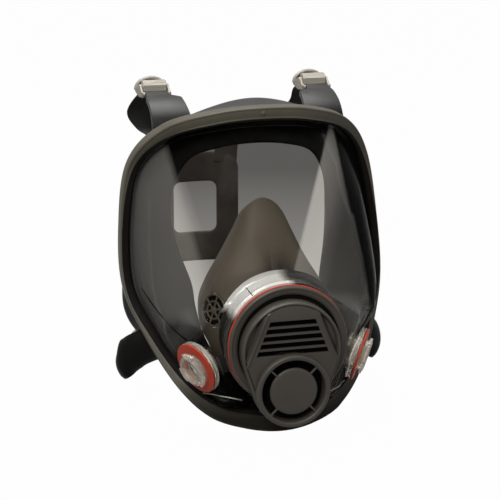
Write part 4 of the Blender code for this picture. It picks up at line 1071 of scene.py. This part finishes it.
def makeFilterPort(label, side):
    p = filterPort
    place = portPlace(side)
    collar, bore, top, r = p["collarRadius"], p["bore"], p["collarLength"], p["gasketRadius"]
    flange, neck, end = p["flange"], p["neckRadius"], p["neckEnd"]
    profile = np.array([
        (bore, top - 0.4), (bore + 0.4, top), (collar - 0.5, top), (collar, top - 0.5), (collar, flange),
        (r - 0.5, flange), (r, flange - 0.4), (r, flange - 1.0), (r - 0.5, flange - 1.3),
        (r - 0.5, flange - 2.2), (r - 0.1, flange - 2.6), (r - 0.2, flange - 3.2), (r - 1.0, flange - 3.8),
        (neck + 1.6, flange - 4.1), (neck, flange - 4.1), (neck, end), (bore, end),
    ])
    # the body is turned as in lathe, with ribs cut into its rim
    angle = np.linspace(0, 2 * np.pi, 144, endpoint=False)[:, None]
    onRim = (profile[:, 0] > r - 0.7) & (profile[:, 1] < flange - 0.8)
    radius = profile[:, 0] - p["ribDepth"] * (np.cos(p["ribs"] * angle) > 0) * onRim
    depth = np.broadcast_to(profile[:, 1], radius.shape)
    grid = np.stack([np.cos(angle) * radius, np.sin(angle) * radius, depth], 2)
    parts = [surface(putAt(grid, place), True, True)]
    for k in range(p["lugs"]):
        turn = math.radians(90 + 360 / p["lugs"] * k) + np.linspace(-p["lugHalfTurn"], p["lugHalfTurn"], 14)
        out = np.stack([np.cos(turn), np.sin(turn), 0 * turn], 1)
        line = out * (collar + 0.6) + [0, 0, top - 1.4]
        parts.append(sweep(putAt(line, place), out @ place[1].T, roundedBar(1.6, 1.0, 0.4, 4)))
    bar = roundedBar(0.8, 1.1, 0.3, 4)
    for k in range(p["spokes"]):
        parts.append(spoke(place, 2 * np.pi * k / p["spokes"] + 0.5, (0, bore + 0.4), end + 1.4, bar))
    makePiece(f"{label}_port_clear", parts, finishes["clear"], "mask", [f"{label}_port_body"])
    inside, thick = p["gasketBore"], p["gasketThickness"]
    gasket = lathe([
        (inside, -thick), (inside, -0.4), (inside + 0.4, 0), (r - 0.7, 0), (r - 0.15, -0.25), (r, -thick / 2),
        (r - 0.15, 0.25 - thick), (r - 0.7, -thick),
    ], place, 96)
    nodes = [f"{label}_port_gasket"]
    makePiece(f"{label}_port_gasket_ring", [gasket], finishes["gasket"], "mask", nodes)


for label, side in sides:
    makeFilterPort(label, side)
print("filter ports made")


# Buckles: rolled nickel roller between two cheeks, with a wire loop behind it

buckle = {  # in the buckle's own axes: across, back along the strap, and off the head
    "half": 9.0,
    "cheek": 1.7,
    "cheekLine": [(0, 1.2, -2.4), (3.5, 2.4, -2.6), (7, 4.4, -3.0), (10.5, 5.4, -3.4), (14, 4.8, -3.4),
                  (18, 3.4, -2.8), (22, 2.2, -2.2), (25.4, 1.6, -1.2)],  # way back, top and underside
    "pivotRadius": 1.5,
    "roller": (10.0, 3.5),
    "rollerRadius": 5.4,
    "pin": 2.4,
    "rearBar": (24.0, 0.5),
    "rearRadius": 1.8,
    "loopRadius": 1.5,
    "loopHeight": 8.0,
    "upperX": 59.2,
    "upperPivot": (44.0, 124.5),
    "upperPitch": -2.0,
    "lowerPivot": (80.0, 33.0),
    "lowerYaw": 24.0,
}


def upperBucklePlace(side):
    a = math.radians(buckle["upperPitch"])
    turned = np.array([[1, 0, 0], [0, math.cos(a), -math.sin(a)], [0, math.sin(a), math.cos(a)]])
    return np.array([side * buckle["upperX"], *buckle["upperPivot"]]), turned


def lowerBucklePlace(side):
    yaw = math.radians(buckle["lowerYaw"])
    back = np.array([-side * math.sin(yaw), math.cos(yaw), 0])
    off = np.array([side * math.cos(yaw), math.sin(yaw), 0])
    x, y = buckle["lowerPivot"]
    return np.array([side * x, y, lowerHeight(x, y)]), np.stack([np.cross(back, off), back, off], 1)


def makeBuckle(name, place, body, rollerBody):
    # two cheeks joined by the pivot bar and the rear bar, with a wire loop over the rear bar
    b = buckle
    across, back = place[1][:, 0], place[1][:, 1]
    half, cheek = b["half"], b["cheek"]
    mid = half + cheek / 2
    reach, top, under = through(b["cheekLine"], 40).T
    unitBar = roundedBar(1.0, 1.0, 0.45, 5)
    thick = np.broadcast_to(unitBar[:, 0] * cheek / 2, (len(reach), len(unitBar)))
    profile = np.stack([thick, unitBar[:, 1] * ((top - under) / 2)[:, None]], 2)
    parts = []
    for side in (-1, 1):
        line = np.stack([np.full(len(reach), side * mid), reach, (top + under) / 2], 1)
        parts.append(sweep(putAt(line, place), across, profile))
    span = np.linspace(-mid, mid, 8)
    for (y, z), radius in (((0, 0), b["pivotRadius"]), (b["rearBar"], b["rearRadius"])):
        line = np.stack([span, y + 0 * span, z + 0 * span], 1)
        parts.append(sweep(putAt(line, place), back, ringOf(radius, 20)))
    backY, backZ = b["rearBar"]
    turn = np.linspace(0, np.pi, 40)
    loopX, loopZ = (mid + 0.8) * np.cos(turn), backZ + b["loopHeight"] * np.sin(turn)
    loop = np.stack([loopX, backY - 2 + 0 * turn, loopZ], 1)
    parts.append(sweep(putAt(loop, place), back, ringOf(b["loopRadius"], 20)))
    makePiece(f"{name}_wire_frame", parts, finishes["nickel"], body, [f"{name}_frame"])
    # rolled roller: an octagon in section, on a round pin
    r, pin = b["rollerRadius"], b["pin"]
    rollerY, rollerZ = b["roller"]
    angle = np.linspace(0, 2 * np.pi, 96, endpoint=False)
    drum = r * math.cos(np.pi / 8) / np.cos((angle + np.pi / 8) % (np.pi / 4) - np.pi / 8)
    flat = np.zeros_like(angle)
    ends = [  # from the pin's end to the drum: way across and radius
        (mid + 0.8, flat), (mid + 0.8, flat + pin), (half - 0.4, flat + pin), (half - 0.4, 0.9 * drum),
        (half - 0.8, drum),
    ]
    rows = [
        np.stack([flat + x, rollerY + radius * np.cos(angle), rollerZ + radius * np.sin(angle)], 1)
        for x, radius in [(-x, radius) for x, radius in ends] + ends[::-1]
    ]
    roller = surface(putAt(np.stack(rows), place), False, True)
    nodes = [f"{name}_roller"]
    makePiece(f"{name}_roller_drum", [roller], finishes["nickel"], rollerBody, nodes, sharp=18)


for label, side in sides:
    for level, place in (("upper", upperBucklePlace(side)), ("lower", lowerBucklePlace(side))):
        makeBuckle(f"{level}_{label}_buckle", place, f"{level}_{label}_buckle", f"{level}_{label}_roller")
print("buckles made")


# Head harness: a bent cradle plate with its window, and four straps

harness = {
    "cradleY": 190.0,
    "cradleZ": 2.0,
    "half": (36.0, 46.0),
    "window": (18.0, 21.0),
    "corner": 15.0,
    "windowCorner": 6.0,
    "thickness": 3.0,
    "bend": 85.0,
    "strap": (19.0, 2.2),
    "strapFront": 17.0,
    "strapInset": (11.0, 9.0),  # where a strap ends on the cradle, in from its edges
    "ridge": 0.25,
    "stations": 90,
    "upperBows": [(0.2, (9, 0, 0)), (0.5, (5.5, 3, 4)), (0.8, (-3, 16, 8))],  # share of the way, bow
    "lowerBows": [(0.35, (5, 6, -4)), (0.78, (7, 7, 0))],
}


def cradleBend(x, z, off=0.0):
    # a flat plate bent round an upright cylinder, with its points lifted off it
    turn = x / harness["bend"]
    radius = harness["bend"] + off
    back = harness["cradleY"] - harness["bend"] + radius * np.cos(turn)
    return np.stack([radius * np.sin(turn), back, harness["cradleZ"] + z], -1)


def cradlePlate():
    # a flat ring between the window and the outer edge, with rounded edges, bent round the back of the head
    a = np.linspace(0, 2 * np.pi, 240, endpoint=False)
    way = np.stack([np.cos(a), np.sin(a)], 1)

    def outline(half, corner):
        # distance to a rounded rectangle along each direction, found by stepping along the ray
        reach = np.linspace(0, 80, 4001)[None, :]
        q = np.abs(way[:, :, None] * reach[:, None, :]) - (np.array(half) - corner)[None, :, None]
        inside = np.hypot(*np.maximum(q, 0).transpose(1, 0, 2)) + np.minimum(q.max(1), 0) < corner
        return way * reach[0, inside.sum(1) - 1][:, None]

    inner = outline(harness["window"], harness["windowCorner"])
    outer = outline(harness["half"], harness["corner"])
    share = np.array([0, 0.02, 0.06, 0.12, 0.5, 0.88, 0.94, 0.98, 1])
    lift = np.array([0.0, 0.75, 1.0, 1.15, 1.0, 1.15, 1.0, 0.75, 0.0]) * harness["thickness"] / 2
    rows = [*zip(share, lift), *zip(share[-2:0:-1], -lift[-2:0:-1])]
    flat = [(inner + (outer - inner) * s, h) for s, h in rows]
    return surface(np.stack([cradleBend(*points.T, h) for points, h in flat]), True, True)


def strapFront(place):
    # the strap's end behind the roller, then out under the rear bar
    rollerY, rollerZ = buckle["roller"]
    backY, backZ = buckle["rearBar"]
    thick = harness["strap"][1]
    under = backZ - buckle["rearRadius"] - 0.6 - thick / 2
    behind = rollerY + buckle["rollerRadius"] + 0.7 + thick / 2
    return putAt([
        (0, behind, rollerZ + 3), (0, behind + 0.2, rollerZ - 2), (0, behind + 2.4, under - 0.4),
        (0, backY + 2, under - 1.6), (0, backY + 9, under - 3.6),
    ], place)


def makeHarness():
    width, thick = harness["strap"]
    bar = roundedBar(width / 2, thick / 2, 0.7, 5)
    ridge = harness["ridge"] * np.exp(-(((np.abs(bar[:, 0]) - (width / 2 - 1.6)) / 0.8) ** 2))
    bar[:, 1] += ridge * np.sign(bar[:, 1])
    count = harness["stations"]
    narrow = harness["strapFront"] / width
    wide = np.interp(np.linspace(0, 1, count), [0, 0.5, 0.62, 1], [narrow, narrow, 1, 1])[:, None]
    profile = np.stack([bar[:, 0] * wide, bar[:, 1] + 0 * wide], 2)
    parts = [cradlePlate()]
    endX, endZ = np.subtract(harness["half"], harness["strapInset"])
    for _, side in sides:
        for place, bows, z, across in (
            (upperBucklePlace(side), harness["upperBows"], endZ, (1, 0, 0)),
            (lowerBucklePlace(side), harness["lowerBows"], -endZ, (0, 0, 1)),
        ):
            start = strapFront(place)
            end = cradleBend(side * endX, z)
            way = [start[-1] * (1 - k) + end * k + flip(bow, side) for k, bow in bows]
            parts.append(sweep(through([*start, *way, end], count), across, profile))
    makePiece("head_harness_rubber", parts, finishes["harness"], "mask", ["head_harness"])


makeHarness()
print("head harness made")


# Small solids that keep their CAD shape

# the speech diaphragm, the exhalation valve and its seat and the cup valves take the near-black finish:
# painted shade on real parts
kept = {
    "speech_diaphragm": "inside",
    "exhalation_valve_seat": "inside",
    "exhalation_valve": "inside",
    "adapter_lock_ring": "clear",
    "left_inhalation_valve": "valve",
    "right_inhalation_valve": "valve",
    "left_cup_valve": "inside",
    "right_cup_valve": "inside",
}
for name, finish in kept.items():
    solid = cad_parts[name]
    solid.data.materials.clear()
    solid.data.materials.append(finishes[finish])
print("kept solids dressed:", len(kept))


# Stage, light and camera

stage = {  # lengths in metres; a lamp is its place, watts and size
    "drop": 0.004,
    "size": 8.0,
    "page": 0.985,  # share of plain white on the floor, the rest takes the shadow
    "shadeNear": (0.16, 0.36),  # distance, and the grey the floor glows with there as seen through the lens: painted shade
    "shadeFar": (0.75, 0.115),
    "paintedSideLight": (0.27, 0.19),  # painted light added behind the left and right panels of the lens
    "world": (0.03, 0.50),  # strength at the ground and at the zenith
    "worldClimb": (-0.2, 0.9),
    "gloss": 0.35,
    "target": (0, -0.02, 0.01),
    "key": ((-0.9, -1.2, 1.4), 26.0, 0.9),
    "fill": ((1.3, -1.2, 0.4), 2.0, 1.2),
    "top": ((-0.1, 0.4, 1.5), 26.0, 1.3),
}


def pageShare(tree, path):
    # how far a ray sees the white page: camera and transmission rays in full, glossy ones in part
    direct = math2(tree, "MAXIMUM", path.outputs["Is Camera Ray"], path.outputs["Is Transmission Ray"])
    glossy = math2(tree, "MULTIPLY", path.outputs["Is Glossy Ray"], stage["gloss"])
    return math2(tree, "MAXIMUM", direct, glossy)


def makeFloor(low):
    size = stage["size"]
    mesh = bpy.data.meshes.new("floor")
    corners = [(-size, -size, low), (size, -size, low), (size, size, low), (-size, size, low)]
    mesh.from_pydata(corners, [], [(0, 1, 2, 3)])
    made = bpy.data.objects.new("floor", mesh)
    bpy.context.scene.collection.objects.link(made)
    finish, tree, shader = newFinish("pale_floor")
    mesh.materials.append(finish)
    feed(tree, shader, {"Base Color": (0.14, 0.14, 0.137, 1), "Roughness": 0.9})
    plain = shader.outputs["BSDF"]
    path = node(tree, "ShaderNodeLightPath")
    page = node(tree, "ShaderNodeEmission", Color=(1, 1, 1, 1), Strength=1.0)
    soft = mixed(tree, stage["page"], plain, page.outputs["Emission"])
    # through the lens the floor glows grey instead, painted shade that falls off with distance, with painted
    # light behind the side panels
    (near, nearTone), (far, farTone) = stage["shadeNear"], stage["shadeFar"]
    spread = mapped(tree, vectorMath(tree, "LENGTH", objectPlace(tree)), (near, far), (nearTone, farTone))
    left = math2(tree, "MULTIPLY", planeStep(tree, "left", 0.002), stage["paintedSideLight"][0])
    right = math2(tree, "MULTIPLY", planeStep(tree, "right", 0.012), stage["paintedSideLight"][1])
    tone = math2(tree, "ADD", math2(tree, "MAXIMUM", left, right), spread)
    shadeGlow = node(tree, "ShaderNodeEmission", Color=(1, 0.97, 0.94, 1), Strength=tone)
    behindLens = math2(tree, "GREATER_THAN", path.outputs["Transparent Depth"], 0.5)
    seen = mixed(tree, behindLens, soft, shadeGlow.outputs["Emission"])
    last = mixed(tree, pageShare(tree, path), plain, seen)
    tree.links.new(last, tree.nodes["Material Output"].inputs["Surface"])


def makeWorld():
    # a white page to the camera; light that grows from the ground to the zenith for everything else
    world = bpy.data.worlds.new("studio")
    bpy.context.scene.world = world
    world.use_nodes = True
    tree = world.node_tree
    light = tree.nodes["Background"]
    way = node(tree, "ShaderNodeTexCoord").outputs["Generated"]
    height = node(tree, "ShaderNodeSeparateXYZ", Vector=way).outputs["Z"]
    feed(tree, light, {
        "Color": (1, 0.99, 0.975, 1),
        "Strength": mapped(tree, height, stage["worldClimb"], stage["world"]),
    })
    page = node(tree, "ShaderNodeBackground", Color=(1, 1, 1, 1), Strength=1.0)
    share = pageShare(tree, node(tree, "ShaderNodeLightPath"))
    last = mixed(tree, share, light.outputs["Background"], page.outputs["Background"])
    tree.links.new(last, tree.nodes["World Output"].inputs["Surface"])


def makeLamp(name, where, watts, size):
    data = bpy.data.lights.new(name, "AREA")
    data.energy = watts
    data.size = size
    made = bpy.data.objects.new(name, data)
    bpy.context.scene.collection.objects.link(made)
    made.location = where
    made.rotation_euler = (Vector(stage["target"]) - Vector(where)).to_track_quat("-Z", "Y").to_euler()


view = {
    "azimuth": -14.4,
    "elevation": 15.9,
    "distance": 1.214,
    "target": (-0.000708, 0.004881, 0.015979),
    "lens": 122.4,
    "sensor": 36.0,
}


def makeCamera():
    data = bpy.data.cameras.new("photo_camera")
    data.lens = view["lens"]
    data.sensor_width = view["sensor"]
    made = bpy.data.objects.new("photo_camera", data)
    bpy.context.scene.collection.objects.link(made)
    a, e = math.radians(view["azimuth"]), math.radians(view["elevation"])
    away = Vector((math.sin(a) * math.cos(e), -math.cos(a) * math.cos(e), math.sin(e)))
    made.location = Vector(view["target"]) + view["distance"] * away
    made.rotation_euler = (-away).to_track_quat("-Z", "Y").to_euler()
    bpy.context.scene.camera = made


makeFloor(cadBox[0][2] - stage["drop"])
makeWorld()
for name in ("key", "fill", "top"):
    makeLamp(f"{name}_light", *stage[name])
makeCamera()
bpy.context.scene.view_settings.view_transform = "Standard"
print("stage, light and camera made")
